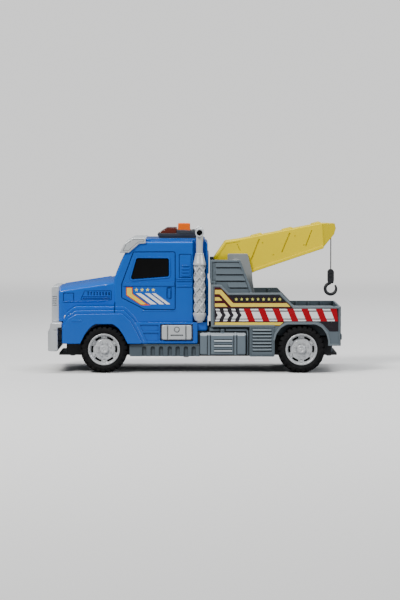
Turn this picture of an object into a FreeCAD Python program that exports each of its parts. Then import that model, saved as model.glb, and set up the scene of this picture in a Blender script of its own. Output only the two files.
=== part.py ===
import FreeCAD, Part
import Sketcher
import math
import os
from FreeCAD import Vector, Rotation, Placement

# Toy tow truck, millimetres. Front points to -X, tail to +X, +Z is up.
# The ground is z = 0 and the origin lies under the middle of the truck.
# Left is the -Y side, right is the +Y side.
# "_half" is a half width, measured across the truck from its middle plane.

doc = FreeCAD.newDocument("toy_tow_truck")
sheet = doc.addObject("Spreadsheet::Sheet", "dims")

DIMENSIONS = {
    # wheels and axles
    "axle_height": 26.0, "front_axle_pos": -99.3, "rear_axle_pos": 117.9,
    "tyre_radius": 26.0, "rim_radius": 17.6, "axle_radius": 2.0, "run_clearance": 0.05,
    "tyre_inner": 36.5, "tyre_outer": 54.5, "axle_half": 50.0,
    # cab
    "cab_half": 50.0, "hood_half": 38.0, "fender_half": 56.0, "sill_half": 53.5,
    "crown_half": 44.0, "stack_bay_half": 42.0, "shell_wall": 2.0,
    "cab_top": 144.7, "crown_top": 147.6, "cab_rear": 14.9, "cab_bottom": 45.9,
    # chassis and rear bed
    "floor_bottom": 18.0, "floor_top": 20.5, "spine_half": 31.0, "tray_half": 44.0,
    "bed_half": 54.0, "bed_wall": 2.5, "deck_top": 68.0, "deck_under": 65.5, "deck_pad": 69.0,
    # crane
    "pivot_pos": 45.9, "pivot_height": 118.8, "shaft_radius": 3.0,
    "boom_half": 20.5, "boom_wall": 2.0, "cheek_inner": 22.0, "cheek_outer": 25.0,
    "tip_pin_pos": 151.0, "tip_pin_height": 155.0, "tip_pin_radius": 1.5,
    "drum_radius": 5.0, "cord_radius": 0.6, "hook_top": 112.0, "hook_half": 2.5,
    "housing_outer": 50.0, "housing_inner": 42.0,
    # exhaust stacks, light bar, front trim and small parts
    "stack_pos": 5.8, "stack_side": 49.5, "stack_pipe": 4.0, "stack_outlet": 154.3,
    "button_half": 9.0, "button_top": 163.9, "bar_half": 30.0, "bar_bottom": 147.7,
    "grille_half": 33.0, "bumper_half": 55.0, "screw_radius": 1.5,
    "cell_radius": 5.2, "cell_length": 44.5, "label_thick": 0.2,
}
for row, (alias, size) in enumerate(DIMENSIONS.items(), 1):
    sheet.set("A%d" % row, alias)
    sheet.set("B%d" % row, str(size))
    sheet.setAlias("B%d" % row, alias)
doc.recompute()

GAP = 0.05         # between neighbouring pieces
OVERCUT = 1.0      # how far a cut runs past the material
CORE = 0.01        # turned outlines stop this short of their axis
SIDES = (-1, 1)    # left, right
POST_RADIUS = 4.0
POST_BORE_TOP = 33.0
# chassis screws: x, distance from the middle plane
SCREWS = [(-136.0, 18.0), (-9.0, 37.0), (76.0, 23.0), (150.0, 20.0)]
SCREW_SPOTS = [(x, side * y) for x, y in SCREWS for side in SIDES]


class Length:
    """A length that remembers which sheet cells it comes from."""

    def __init__(self, value, formula=None):
        self.value = float(value)
        self.formula = formula or "(%.4f)" % self.value

    def _combine(self, other, sign, value):
        return Length(value, "(%s %s %s)" % (self.formula, sign, other.formula))

    def __add__(self, other):
        other = as_length(other)
        return self._combine(other, "+", self.value + other.value)

    def __sub__(self, other):
        other = as_length(other)
        return self._combine(other, "-", self.value - other.value)

    def __rsub__(self, other):
        return as_length(other) - self

    def __mul__(self, other):
        other = as_length(other)
        return self._combine(other, "*", self.value * other.value)

    def __neg__(self):
        return self * -1.0


def as_length(value):
    return value if isinstance(value, Length) else Length(value)


def dim(alias):
    return Length(DIMENSIONS[alias], "dims.%s" % alias)


def number(value):
    return value.value if isinstance(value, Length) else float(value)


def bind(item, prop, value):
    """Set a property and, where the length comes from the sheet, bind it."""
    if isinstance(value, Length):
        item.setExpression(prop, value.formula)
    else:
        setattr(item, prop, float(value))


def add(kind, name):
    item = doc.addObject(kind, name)
    item.Label = name
    return item


def place(item, where, turn=None):
    item.Placement = Placement(Vector(*[number(w) for w in where]), turn or Rotation())
    for axis, w in zip("xyz", where):
        if isinstance(w, Length):
            item.setExpression("Placement.Base.%s" % axis, w.formula)


# ---------------------------------------------------------------- bodies and sketches
# Outline columns are the two axes in the plane's name: (x, y), (x, z) or (y, z).
# Circles are (first axis, second axis, radius).
def body(name):
    return add("PartDesign::Body", name)


def constrain(drawn, value, *target):
    """Add a dimension to a sketch, bound to the sheet where it comes from there."""
    index = drawn.addConstraint(Sketcher.Constraint(*target, number(value)))
    if isinstance(value, Length):
        drawn.setExpression("Constraints[%d]" % index, value.formula)


def sketch(part, plane, offset, outlines=(), circles=()):
    drawn = part.newObject("Sketcher::SketchObject", part.Label + "_sketch")
    role = plane.upper() + "_Plane"
    origin = [f for f in part.Origin.OriginFeatures if f.Role == role][0]
    drawn.AttachmentSupport = [(origin, "")]
    drawn.MapMode = "FlatFace"
    drawn.AttachmentOffset = Placement(Vector(0, 0, number(offset)), Rotation())
    if isinstance(offset, Length):
        drawn.setExpression("AttachmentOffset.Base.z", offset.formula)
    for outline in outlines:
        first = drawn.GeometryCount
        count = len(outline)
        corners = [Vector(number(u), number(v), 0) for u, v in outline]
        for i in range(count):
            drawn.addGeometry(Part.LineSegment(corners[i], corners[(i + 1) % count]), False)
        for i in range(count):
            drawn.addConstraint(
                Sketcher.Constraint("Coincident", first + i, 2, first + (i + 1) % count, 1))
        for i in range(count):
            for kind, value in zip(("DistanceX", "DistanceY"), outline[i]):
                constrain(drawn, value, kind, -1, 1, first + i, 1)
    for u, v, radius in circles:
        centre = Vector(number(u), number(v), 0)
        edge = drawn.addGeometry(Part.Circle(centre, Vector(0, 0, 1), number(radius)), False)
        constrain(drawn, radius, "Radius", edge)
        # a centre that lies on a sketch axis is held there, as its distance is zero
        for kind, axis, value in (("DistanceX", -2, u), ("DistanceY", -1, v)):
            if abs(number(value)) < 1e-9:
                drawn.addConstraint(Sketcher.Constraint("PointOnObject", edge, 3, axis))
            else:
                constrain(drawn, value, kind, -1, 1, edge, 3)
    return drawn


def extrude(kind, part, plane, start, length, outlines, circles):
    drawn = sketch(part, plane, start, outlines, circles)
    feature = part.newObject("PartDesign::" + kind, part.Label + "_" + kind.lower())
    feature.Profile = drawn
    feature.SideType = "One side"
    feature.Type = "Length"
    bind(feature, "Length", length)


# An xz sketch faces -Y, so its offset is the negative of y.
def pad(part, plane, low, high, *outlines, circles=()):
    """Add material between low and high along the axis normal to the plane."""
    start = -high if plane == "xz" else low
    extrude("Pad", part, plane, start, high - low, outlines, circles)


def pocket(part, plane, low, high, *outlines, circles=()):
    """Remove material between low and high along the axis normal to the plane."""
    start = -low if plane == "xz" else high
    extrude("Pocket", part, plane, start, high - low, outlines, circles)


def pad_across(part, half, *outlines):
    pad(part, "xz", -half, half, *outlines)


def pocket_across(part, half, *outlines, circles=()):
    pocket(part, "xz", -half, half, *outlines, circles=circles)


def side_span(side, inner, outer):
    """The y range between two distances from the middle plane, on one side."""
    return (inner, outer) if side > 0 else (-outer, -inner)


def pad_sides(part, inner, outer, outline):
    for side in SIDES:
        pad(part, "xz", *side_span(side, inner, outer), outline)


def pocket_sides(part, inner, outer, outline):
    for side in SIDES:
        pocket(part, "xz", *side_span(side, inner, outer), outline)


def rect(left, low, right, high):
    return [(left, low), (right, low), (right, high), (left, high)]


def turned(name, plane, outline, where):
    """A turned piece: (radius, distance along the axis) points. The axis is Y or Z,
    the second letter of the plane."""
    part = body(name)
    drawn = sketch(part, plane, 0.0, [outline])
    feature = part.newObject("PartDesign::Revolution", name + "_turned")
    feature.Profile = drawn
    feature.ReferenceAxis = (drawn, ["V_Axis"])
    feature.Angle = 360.0
    place(part, where)
    return part


# ---------------------------------------------------------------- primitives and booleans
ALONG = {"z": Rotation(), "y": Rotation(Vector(1, 0, 0), -90), "x": Rotation(Vector(0, 1, 0), 90)}


def box(name, x0, x1, y0, y1, z0, z1):
    made = add("Part::Box", name)
    bind(made, "Length", x1 - x0)
    bind(made, "Width", y1 - y0)
    bind(made, "Height", z1 - z0)
    place(made, (x0, y0, z0))
    return made


def cylinder(name, axis, where, radius, length):
    """A cylinder that starts at where and runs along +axis."""
    made = add("Part::Cylinder", name)
    bind(made, "Radius", radius)
    bind(made, "Height", length)
    place(made, where, ALONG[axis])
    return made


def fuse(name, parts):
    made = add("Part::MultiFuse", name)
    made.Shapes = parts
    return made


def cut(name, base, tool):
    made = add("Part::Cut", name)
    made.Base = base
    made.Tool = tool
    return made


def group(name, parts):
    """Identical or paired pieces kept as separate solids of one node."""
    add("Part::Compound", name).Links = parts


def mirrored(name, source):
    """The same piece on the other side of the truck."""
    made = add("Part::Mirroring", name)
    made.Source = source
    made.Base = Vector(0, 0, 0)
    made.Normal = Vector(0, 1, 0)
    return made


def rod_shape(points, radius):
    """A round cord or wire that follows straight runs with rounded corners."""
    shape = None
    for i in range(len(points) - 1):
        start, end = Vector(*points[i]), Vector(*points[i + 1])
        run = Part.makeCylinder(radius, (end - start).Length, start, end - start)
        shape = run if shape is None else shape.fuse(run)
        if i:
            shape = shape.fuse(Part.makeSphere(radius, start))
    return shape.removeSplitter()


def rods(name, paths, radius):
    """One rod for each path of (x, y, z) points."""
    shapes = [rod_shape(path, radius) for path in paths]
    add("Part::Feature", name).Shape = shapes[0] if len(shapes) == 1 else Part.makeCompound(shapes)


# ================================================================ rolling gear
axle_z = dim("axle_height")
axle_radius = dim("axle_radius")
axle_half = dim("axle_half")
rim = dim("rim_radius")
tread = dim("tyre_radius")
shoulder = tread - 3.4
inner, outer = dim("tyre_inner"), dim("tyre_outer")
tyre_outline = [
    (rim, inner + 0.8), (shoulder, inner), (tread, inner + 3.0),
    (tread, outer - 3.0), (shoulder, outer), (rim, outer - 0.8)]
hub_outline = [
    (axle_radius, 31.3), (4.2, 31.3), (4.2, 45.0), (15.4, 45.0),
    (rim - 1.8, inner + 1.0), (rim, inner + 1.0), (rim, outer - 1.0), (rim - 1.8, outer - 1.0),
    (15.4, 48.2), (6.0, 48.2), (5.0, 51.4), (CORE, 51.4),
    (CORE, axle_half), (axle_radius, axle_half)]
for end in ("front", "rear"):
    axle_x = dim(end + "_axle_pos")
    cylinder(end + "_axle", "y", (axle_x, -axle_half, axle_z), axle_radius, axle_half * 2)
    for kind, outline in (("tyre", tyre_outline), ("hub", hub_outline)):
        wheel_part = turned("%s_%s_right" % (end, kind), "xy", outline, (axle_x, 0, axle_z))
        mirrored("%s_%s_left" % (end, kind), wheel_part)

# ================================================================ chassis tray
floor_low, floor_top = dim("floor_bottom"), dim("floor_top")
spine_half, tray_half = dim("spine_half"), dim("tray_half")
below = floor_low - OVERCUT
RAIL_WALL = 2.5
BOX_TOP = 33.0
SPEAKER_X = 62.0
COVER_SCREW_X = 34.5

chassis = body("chassis")
pad(chassis, "xy", floor_low, floor_top, rect(-150.2, -spine_half, 158.4, spine_half))
pad(chassis, "xy", floor_low, floor_top, rect(-70.0, -tray_half, 86.0, tray_half))
for side in SIDES:
    span = side_span(side, spine_half - RAIL_WALL, spine_half)
    pad(chassis, "xz", *span, rect(-142.0, floor_top, 152.0, 38.0))
    span = side_span(side, tray_half - RAIL_WALL, tray_half)
    pad(chassis, "xz", *span, rect(-70.0, floor_top, 86.0, 31.9))
# battery box with its partition and the screw boss of its cover
battery_bay = rect(-25.0, -24.0, 38.0, 24.0)
pad(chassis, "xy", floor_top, BOX_TOP, rect(-27.0, -26.0, 40.0, 26.0), battery_bay)
pad(chassis, "xy", floor_top, BOX_TOP, rect(29.5, -25.0, 31.0, 25.0))
pad(chassis, "xy", floor_top, 27.0, rect(COVER_SCREW_X - 4.0, -4.0, COVER_SCREW_X + 4.0, 4.0))
# speaker collar
pad(chassis, "xy", floor_top, 24.0, circles=[(SPEAKER_X, 0.0, 15.8), (SPEAKER_X, 0.0, 14.2)])
axle_bore = axle_radius + dim("run_clearance")
pocket_across(chassis, spine_half + OVERCUT, circles=[
    (dim(end + "_axle_pos"), axle_z, axle_bore) for end in ("front", "rear")])
pocket(chassis, "xy", below, floor_top, battery_bay)
pocket(chassis, "xy", floor_top, 26.0, circles=[(COVER_SCREW_X, 0.0, 1.35)])
# power switch slot
pocket(chassis, "xy", below, floor_top + OVERCUT, rect(-52.0, -2.0, -43.0, 2.0))
# speaker holes: one in the middle of a ring of six
HOLE_RADIUS = 1.2
HOLE_RING = 6.5
angles = [math.radians(60 * k) for k in range(1, 7)]
pocket(chassis, "xy", below, floor_top + OVERCUT, circles=[(SPEAKER_X, 0.0, HOLE_RADIUS)] + [
    (SPEAKER_X + HOLE_RING * math.cos(a), HOLE_RING * math.sin(a), HOLE_RADIUS) for a in angles])
pocket(chassis, "xy", below, floor_top + OVERCUT, circles=[
    (x, y, dim("screw_radius") + 0.2) for x, y in SCREW_SPOTS])

# ---------------------------------------------------------------- side panels
# Ribbed skirt, half fuel tank and cabinet in one moulding, open on its inner side.
panel = body("side_panel_left")
panel_back = -tray_half - GAP
tank = [
    (6.3, 22.5), (8.0, 20.1), (54.0, 20.1), (55.6, 22.5),
    (55.6, 42.0), (54.0, 44.2), (8.0, 44.2), (6.3, 42.0)]
pad(panel, "xz", -52.5, panel_back, rect(-71.2, 18.3, 5.9, 31.9))
pad(panel, "xz", -48.0, panel_back, rect(5.0, 21.0, 62.0, 30.0))
# plates behind the tank, which join it to the skirt and the cabinet
pad(panel, "xz", -46.0, panel_back, rect(3.0, 22.0, 16.5, 45.4))
pad(panel, "xz", -46.0, panel_back, rect(16.0, 22.0, 62.0, 50.4))
pad(panel, "xz", -55.0, panel_back, tank)
pad(panel, "xz", -54.0, panel_back, rect(60.8, 18.1, 88.3, 50.4))
# hollows of the skirt, the tank and the cabinet
pocket(panel, "xz", -50.5, panel_back + OVERCUT, rect(-69.2, 20.3, 3.9, 29.9))
pocket(panel, "xz", -53.0, panel_back + OVERCUT, rect(8.3, 22.1, 53.6, 42.2))
pocket(panel, "xz", -52.0, panel_back + OVERCUT, rect(62.8, 20.1, 86.3, 48.4))
# upright slots of the skirt and level slats of the cabinet
SKIRT_SLOTS_X = (-55.1, -45.7, -36.6, -27.0, -18.3, -9.3, -0.7)
SLATS_Z = (24.0, 27.7, 31.3, 35.0, 38.6, 42.2, 45.8)
pocket(panel, "xz", -53.0, -51.3, *[rect(x - 2.2, 20.5, x + 2.2, 30.0) for x in SKIRT_SLOTS_X])
pocket(panel, "xz", -54.5, -53.0, *[rect(62.5, z, 85.0, z + 1.6) for z in SLATS_Z])
mirrored("side_panel_right", panel)

# ================================================================ cab shell
cab_half, cab_rear, cab_top = dim("cab_half"), dim("cab_rear"), dim("cab_top")
cab_bottom = dim("cab_bottom")
crown_half, crown_top = dim("crown_half"), dim("crown_top")
LEAD_X = -24.0     # power wires where they pass the roof

hood = [(-148.6, 55.25), (-148.6, 95.2), (-86.0, 104.5), (-86.0, 55.25)]
fenders = [
    (-145.5, 52.8), (-140.0, 66.0), (-131.2, 72.0), (-125.0, 73.2), (-76.2, 73.2),
    (-66.3, 62.3), (-59.7, 48.9), (-55.1, 34.3), (-55.1, 32.3), (-71.8, 32.3),
    (-75.5, 37.4), (-78.0, 42.4), (-83.1, 49.5), (-89.0, 54.3), (-109.5, 54.3),
    (-115.5, 49.5), (-120.6, 42.4), (-123.1, 37.4), (-126.8, 32.3), (-145.5, 32.3)]
cabin = [
    (-75.0, cab_bottom), (cab_rear, cab_bottom), (cab_rear, cab_top - 1.7), (13.2, cab_top),
    (-66.0, cab_top), (-76.4, 132.0), (-88.3, 104.2), (-88.3, 70.0), (-75.0, 60.0)]
crown = [
    (-62.0, 143.0), (11.5, 143.0), (11.5, crown_top - 1.2), (10.0, crown_top),
    (-58.0, crown_top)]
hood_hollow = [(-146.6, 30.0), (-146.6, 93.4), (-86.2, 102.4), (-86.2, 30.0)]
fender_hollow = [
    (-141.0, 56.3), (-137.5, 64.8), (-130.0, 70.5), (-124.6, 71.2), (-77.0, 71.2),
    (-68.2, 61.3), (-61.8, 48.3), (-57.4, 34.3), (-69.8, 34.3), (-73.7, 38.3),
    (-76.3, 43.4), (-81.7, 51.0), (-88.3, 56.3)]
fender_front_hollow = [
    (-143.5, 30.0), (-128.5, 30.0), (-128.5, 34.3), (-124.9, 38.4), (-122.6, 43.4),
    (-117.5, 50.6), (-117.5, 54.3), (-143.5, 54.3)]
cabin_hollow = [
    (-63.0, 30.0), (-4.4, 30.0), (-4.4, 142.7), (-65.0, 142.7), (-74.5, 131.0),
    (-86.3, 103.5), (-86.3, 75.3), (-72.0, 75.3), (-63.0, 66.0)]
crown_hollow = [(-56.0, 140.0), (9.8, 140.0), (9.8, 145.6), (-57.0, 145.6)]
side_window = [(-70.2, 102.7), (-27.7, 106.2), (-27.9, 126.2), (-63.4, 126.4)]

cab = body("cab_shell")
pad_across(cab, dim("hood_half"), hood)
pad_across(cab, dim("fender_half"), fenders)
pad_across(cab, dim("sill_half"), rect(-64.1, 32.3, 3.6, 55.7))
pad_across(cab, cab_half, cabin)
pad_across(cab, crown_half, crown)
# hollow inside, open underneath
pocket_across(cab, 36.0, hood_hollow)
pocket_across(cab, 54.0, fender_hollow)
pocket_across(cab, 54.0, fender_front_hollow)
pocket_across(cab, 34.0, rect(-86.4, 30.0, -50.0, 75.0))
pocket_across(cab, cab_half - dim("shell_wall"), cabin_hollow)
pocket_across(cab, 40.0, rect(-5.0, 30.0, 12.9, 142.7))
pocket_across(cab, 48.0, rect(-5.0, 30.0, 12.9, 53.5))
pocket_across(cab, 42.0, crown_hollow)
pocket_across(cab, 51.5, rect(-62.1, 30.0, 1.6, 53.7))
# bays for the exhaust stacks at the rear corners
pocket_sides(cab, dim("stack_bay_half"), 60.0, rect(-2.2, 55.7, 16.0, 150.0))
# side windows, windscreen, headlight openings, tool box openings, wire hole in the roof
pocket_across(cab, 60.0, side_window)
pocket(cab, "yz", -96.0, -66.5, rect(-41.0, 107.5, 41.0, 129.0))
pocket(cab, "yz", -150.0, -136.0, rect(40.0, 56.5, 52.0, 66.0), rect(-52.0, 56.5, -40.0, 66.0))
pocket_sides(cab, 48.0, 60.0, rect(-36.0, 36.7, -2.7, 53.1))
pocket(cab, "xy", 140.0, 150.0, circles=[(LEAD_X, 0.0, 4.0)])
# wheel housing walls inside the front arches
pad_sides(cab, 34.0, 36.1, rect(-128.0, 40.0, -77.0, 58.0))
# screw posts, the rear pair joined to the side walls by webs
(front_x, front_y), (rear_x, rear_y) = SCREWS[:2]
for side in SIDES:
    pad(cab, "xy", floor_top + GAP, 95.5, circles=[(front_x, side * front_y, POST_RADIUS)])
    pad(cab, "xy", floor_top + GAP, 60.0, circles=[(rear_x, side * rear_y, POST_RADIUS)])
    pad(cab, "xz", *side_span(side, 40.0, 49.0), rect(rear_x - 1.0, 40.0, rear_x + 1.0, 60.0))


def bore_posts(part, spots):
    pocket(part, "xy", floor_top - OVERCUT, POST_BORE_TOP, circles=[
        (x, y, dim("screw_radius") + GAP) for x, y in spots])


bore_posts(cab, [spot for spot in SCREW_SPOTS if spot[0] < 0])

# ---------------------------------------------------------------- window moulding inside the cab
windows = body("cab_windows")
pane = [(-24.5, 99.9), (-24.5, 130.5), (-74.2, 130.5), (-85.8, 103.5), (-85.8, 99.9)]
pane_hollow = [(-20.0, 95.0), (-20.0, 135.0), (-70.9, 135.0), (-84.4, 103.9), (-84.4, 95.0)]
pad_across(windows, 47.9, pane)
pocket_across(windows, 46.7, pane_hollow)

# ---------------------------------------------------------------- grille with upright slots
grille = body("grille")
SLOT_PITCH = 8.6
SLOT_HALF = 2.6
slots = [
    rect(k * SLOT_PITCH - SLOT_HALF, 60.0, k * SLOT_PITCH + SLOT_HALF, 88.5)
    for k in range(-3, 4)]
pad_across(grille, dim("grille_half"), [
    (-157.0, 55.2), (-148.7, 55.2), (-148.7, 94.6), (-155.5, 94.6), (-157.0, 92.8)])
pocket(grille, "yz", -158.0, -151.0, *slots)

# ---------------------------------------------------------------- front bumper, open at its back
bumper = body("front_bumper")
bumper_half = dim("bumper_half")
pad_across(bumper, bumper_half, [
    (-161.4, 24.0), (-161.4, 45.0), (-159.0, 49.5), (-158.0, 55.1),
    (-145.8, 55.1), (-145.8, 50.0), (-150.2, 50.0), (-150.2, 24.0)])
pocket_across(bumper, bumper_half - 2.5, rect(-158.6, 26.5, -150.0, 43.0))

# ---------------------------------------------------------------- headlights
lamp_outline = [
    (-144.6, 56.7), (-138.5, 56.7), (-138.5, 65.8), (-140.6, 65.8), (-142.6, 63.6)]
lamps = []
for side, word in zip(SIDES, ("left", "right")):
    lamp = body("headlight_solid_" + word)
    pad(lamp, "xz", *side_span(side, 40.2, 51.8), lamp_outline)
    lamps.append(lamp)
group("headlights", lamps)

# ---------------------------------------------------------------- sun visor, cut to fit the roof
visor = body("sun_visor")
pad_across(visor, 52.0, [
    (-82.2, 132.3), (-71.8, 132.3), (-60.3, 142.1), (-53.3, 142.5),
    (-53.3, 148.6), (-67.7, 148.6), (-76.4, 143.0)])
pocket_across(visor, cab_half + GAP, [
    (-81.7, 120.0), (-76.5, 132.0), (-66.05, cab_top + GAP), (-45.0, cab_top + GAP),
    (-45.0, 120.0)])
pocket_across(visor, crown_half + GAP, [
    (-62.2, 140.0), (-62.2, 143.0), (-58.1, crown_top + GAP), (-45.0, crown_top + GAP),
    (-45.0, 140.0)])

# ================================================================ roof light bar
bar_low, bar_half = dim("bar_bottom"), dim("bar_half")
button_half, button_top = dim("button_half"), dim("button_top")
BUTTON_FRONT, BUTTON_REAR, BUTTON_PLAY = -17.6, -4.5, 0.3
LED_X, LED_Y = -27.0, 14.0

# base, open underneath, with the button opening and two LED holes
bar = body("light_bar_base")
pad_across(bar, bar_half, [
    (-41.0, bar_low), (3.6, bar_low), (3.6, 154.5), (1.5, 156.8),
    (-19.5, 156.8), (-19.5, 153.5), (-37.0, 153.5), (-41.0, 151.0)])
pocket_across(bar, bar_half - 1.6, [
    (-39.0, bar_low - OVERCUT), (2.0, bar_low - OVERCUT), (2.0, 153.8), (0.8, 155.2),
    (-18.0, 155.2), (-18.0, 151.9), (-36.4, 151.9), (-39.0, 150.4)])
opening_half = button_half + BUTTON_PLAY
pocket(bar, "xy", 154.0, 158.0, rect(
    BUTTON_FRONT - BUTTON_PLAY, -opening_half, BUTTON_REAR + BUTTON_PLAY, opening_half))
pocket(bar, "xy", 151.0, 154.0, circles=[(LED_X, side * LED_Y, 3.0) for side in SIDES])

lens = body("light_bar_lens")
pad_across(lens, 28.0, [
    (-34.4, 153.55), (-19.6, 153.55), (-19.6, 159.0), (-32.6, 159.0), (-34.4, 157.4)])
pocket_across(lens, 27.0, [
    (-33.4, 153.0), (-20.6, 153.0), (-20.6, 158.0), (-32.2, 158.0), (-33.4, 157.0)])

# button with chamfered top edges and a flange wider than its opening
button = body("sound_button")
chamfer = 1.5
pad_across(button, button_half, [
    (BUTTON_FRONT, 154.0), (BUTTON_REAR, 154.0), (BUTTON_REAR, button_top - chamfer),
    (BUTTON_REAR - chamfer, button_top), (BUTTON_FRONT + chamfer, button_top),
    (BUTTON_FRONT, button_top - chamfer)])
pad(button, "xy", 153.6, 155.15, rect(BUTTON_FRONT, -10.5, BUTTON_REAR, 10.5))

turned("button_dome", "xz", [
    (CORE, 151.5), (2.0, 151.5), (2.0, 152.6), (3.2, 152.6), (4.6, 149.9), (4.6, 148.9),
    (6.0, 148.9), (6.0, 149.6), (5.6, 149.9), (4.2, 153.55), (CORE, 153.55)], (-11.0, 0, 0))

board_low = crown_top + GAP
board_top = board_low + 1.2
box("circuit_board", -35.0, 0.0, -24.0, 24.0, board_low, board_top)
group("leds", [
    cylinder("led_%d" % (side + 1), "z", (LED_X, side * LED_Y, board_top + GAP), 1.5, 6.5)
    for side in SIDES])

# ================================================================ exhaust stacks
# An upright column whose pipe opens sideways, away from the cab.
stack_x, stack_y, outlet_z = dim("stack_pos"), dim("stack_side"), dim("stack_outlet")
pipe = dim("stack_pipe")
column = turned("stack_column", "xz", [
    (CORE, 55.76), (4.9, 55.76), (4.9, 57.8), (7.1, 63.6), (7.1, 66.2), (6.2, 66.3),
    (6.2, 118.7), (6.9, 118.9), (6.9, 121.0), (pipe + 0.6, 130.9), (pipe + 0.6, 132.4),
    (pipe, 132.6), (pipe, outlet_z + 4.2), (CORE, outlet_z + 4.2)], (stack_x, -stack_y, 0))
outlet = cylinder("stack_outlet_run", "y", (stack_x, -stack_y - 5.6, outlet_z), pipe - 0.1, 6.0)
ring = cylinder("stack_outlet_ring", "y", (stack_x, -stack_y - 6.4, outlet_z), 4.9, 1.6)
stack_solid = fuse("stack_solid", [column, outlet, ring])
mouth = cylinder("stack_mouth", "y", (stack_x, -stack_y - 7.0, outlet_z), 3.3, 6.0)
mirrored("exhaust_stack_right", cut("exhaust_stack_left", stack_solid, mouth))

# ---------------------------------------------------------------- tool boxes in the sills
tool_box = body("tool_box_left")
pad(tool_box, "xz", -56.0, -49.2, [
    (-35.7, 38.2), (-34.5, 37.0), (-4.2, 37.0), (-3.0, 38.2),
    (-3.0, 51.6), (-4.2, 52.8), (-34.5, 52.8), (-35.7, 51.6)])
pocket(tool_box, "xz", -54.0, -48.0, rect(-33.5, 39.2, -5.2, 50.6))
mirrored("tool_box_right", tool_box)

# ================================================================ rear bed
bed_half, bed_wall = dim("bed_half"), dim("bed_wall")
deck_top, deck_under = dim("deck_top"), dim("deck_under")
bed_outline = [
    (18.4, 50.9), (88.5, 50.9),
    # wheel arch
    (88.5, 35.6), (90.5, 43.0), (95.5, 50.0), (101.8, 53.5),
    (134.0, 53.5), (140.3, 50.0), (145.3, 43.0), (147.3, 35.6),
    # tail and upper edge
    (147.3, 30.0), (161.4, 30.0), (161.4, 73.3), (109.8, 73.3), (95.0, 88.5),
    (38.0, 88.2), (29.2, 97.0), (18.4, 97.4)]
bed = body("rear_bed")
pad_across(bed, bed_half, bed_outline)
# hollows above and below the deck
pocket_across(bed, bed_half - bed_wall, rect(20.9, deck_top, 158.9, 100.0))
pocket_across(bed, bed_half - bed_wall, rect(20.9, 28.0, 158.9, deck_under))
# raised plate on the deck
pad(bed, "xy", deck_top - 0.5, dim("deck_pad"), rect(112.0, -35.0, 156.0, 35.0))
# wheel housing walls under the deck
pad_sides(bed, 32.5, 35.0, rect(86.0, 40.0, 150.0, deck_under + 0.5))
bed_spots = [spot for spot in SCREW_SPOTS if spot[0] > 0]
for x, y in bed_spots:
    pad(bed, "xy", floor_top + GAP, deck_under + 1.0, circles=[(x, y, POST_RADIUS)])
bore_posts(bed, bed_spots)

# ---------------------------------------------------------------- screws, head down
head_top = floor_low - GAP
screw_radius = dim("screw_radius")
screw_outline = [
    (CORE, 16.2), (2.4, 16.2), (3.0, 17.0), (3.0, head_top),
    (screw_radius, head_top), (screw_radius, 30.0), (CORE, 32.0)]
group("chassis_screws", [
    turned("screw_solid_%d" % i, "xz", screw_outline, (x, y, 0))
    for i, (x, y) in enumerate(SCREW_SPOTS)])

# ================================================================ crane
pivot_x, pivot_z = dim("pivot_pos"), dim("pivot_height")
tip_x, tip_z = dim("tip_pin_pos"), dim("tip_pin_height")
shaft_radius = dim("shaft_radius")
pivot_bore = (pivot_x, pivot_z, shaft_radius + dim("run_clearance"))
HOOK_X, HOOK_Z = 153.2, 90.0     # middle of the hook's bend

# louvre housings, open on the inner side; the shaft passes the right one
housing = body("louvre_housing_left")
far, near = dim("housing_outer"), dim("housing_inner")
pad(housing, "xz", -far, -near, [
    (21.0, deck_top + GAP), (63.4, deck_top + GAP), (63.4, 89.9), (50.7, 124.3),
    (17.4, 124.3), (17.4, 99.0), (21.0, 99.0)])
pocket(housing, "xz", -far + 2.0, -near + OVERCUT, [
    (23.0, deck_top + 2.0), (61.4, deck_top + 2.0), (61.4, 89.5), (49.3, 122.3),
    (19.4, 122.3), (19.4, 101.0), (23.0, 101.0)])
# louvre slots: front x, bottom z, rear x
LOUVRES = [(23.4, 115.3, 49.0), (23.4, 107.4, 51.5), (23.4, 100.5, 54.0), (38.3, 92.9, 57.0)]
pocket(housing, "xz", -far - OVERCUT, -far + 1.0, *[
    rect(front, low, rear, low + 1.7) for front, low, rear in LOUVRES])
housing_mirror = mirrored("louvre_housing_mirror", housing)
hole = cylinder("shaft_hole", "y", (pivot_x, near - 2.0, pivot_z), shaft_radius + 0.4, 12.0)
cut("louvre_housing_right", housing_mirror, hole)

# mast bracket: base plate, two cheeks and a web across their front
bracket = body("mast_bracket")
cheek_in, cheek_out = dim("cheek_inner"), dim("cheek_outer")
pad(bracket, "xy", deck_top + GAP, 71.0, rect(24.0, -cheek_out, 74.0, cheek_out))
pad_sides(bracket, cheek_in, cheek_out, [
    (26.0, 70.5), (29.5, 105.0), (37.3, 130.7), (59.0, 130.7),
    (63.9, 110.0), (64.6, 99.8), (70.0, 70.5)])
pad_across(bracket, cheek_in + 0.5, rect(27.5, 70.5, 30.0, 84.0))
pocket_across(bracket, cheek_out + OVERCUT, circles=[pivot_bore])

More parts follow.
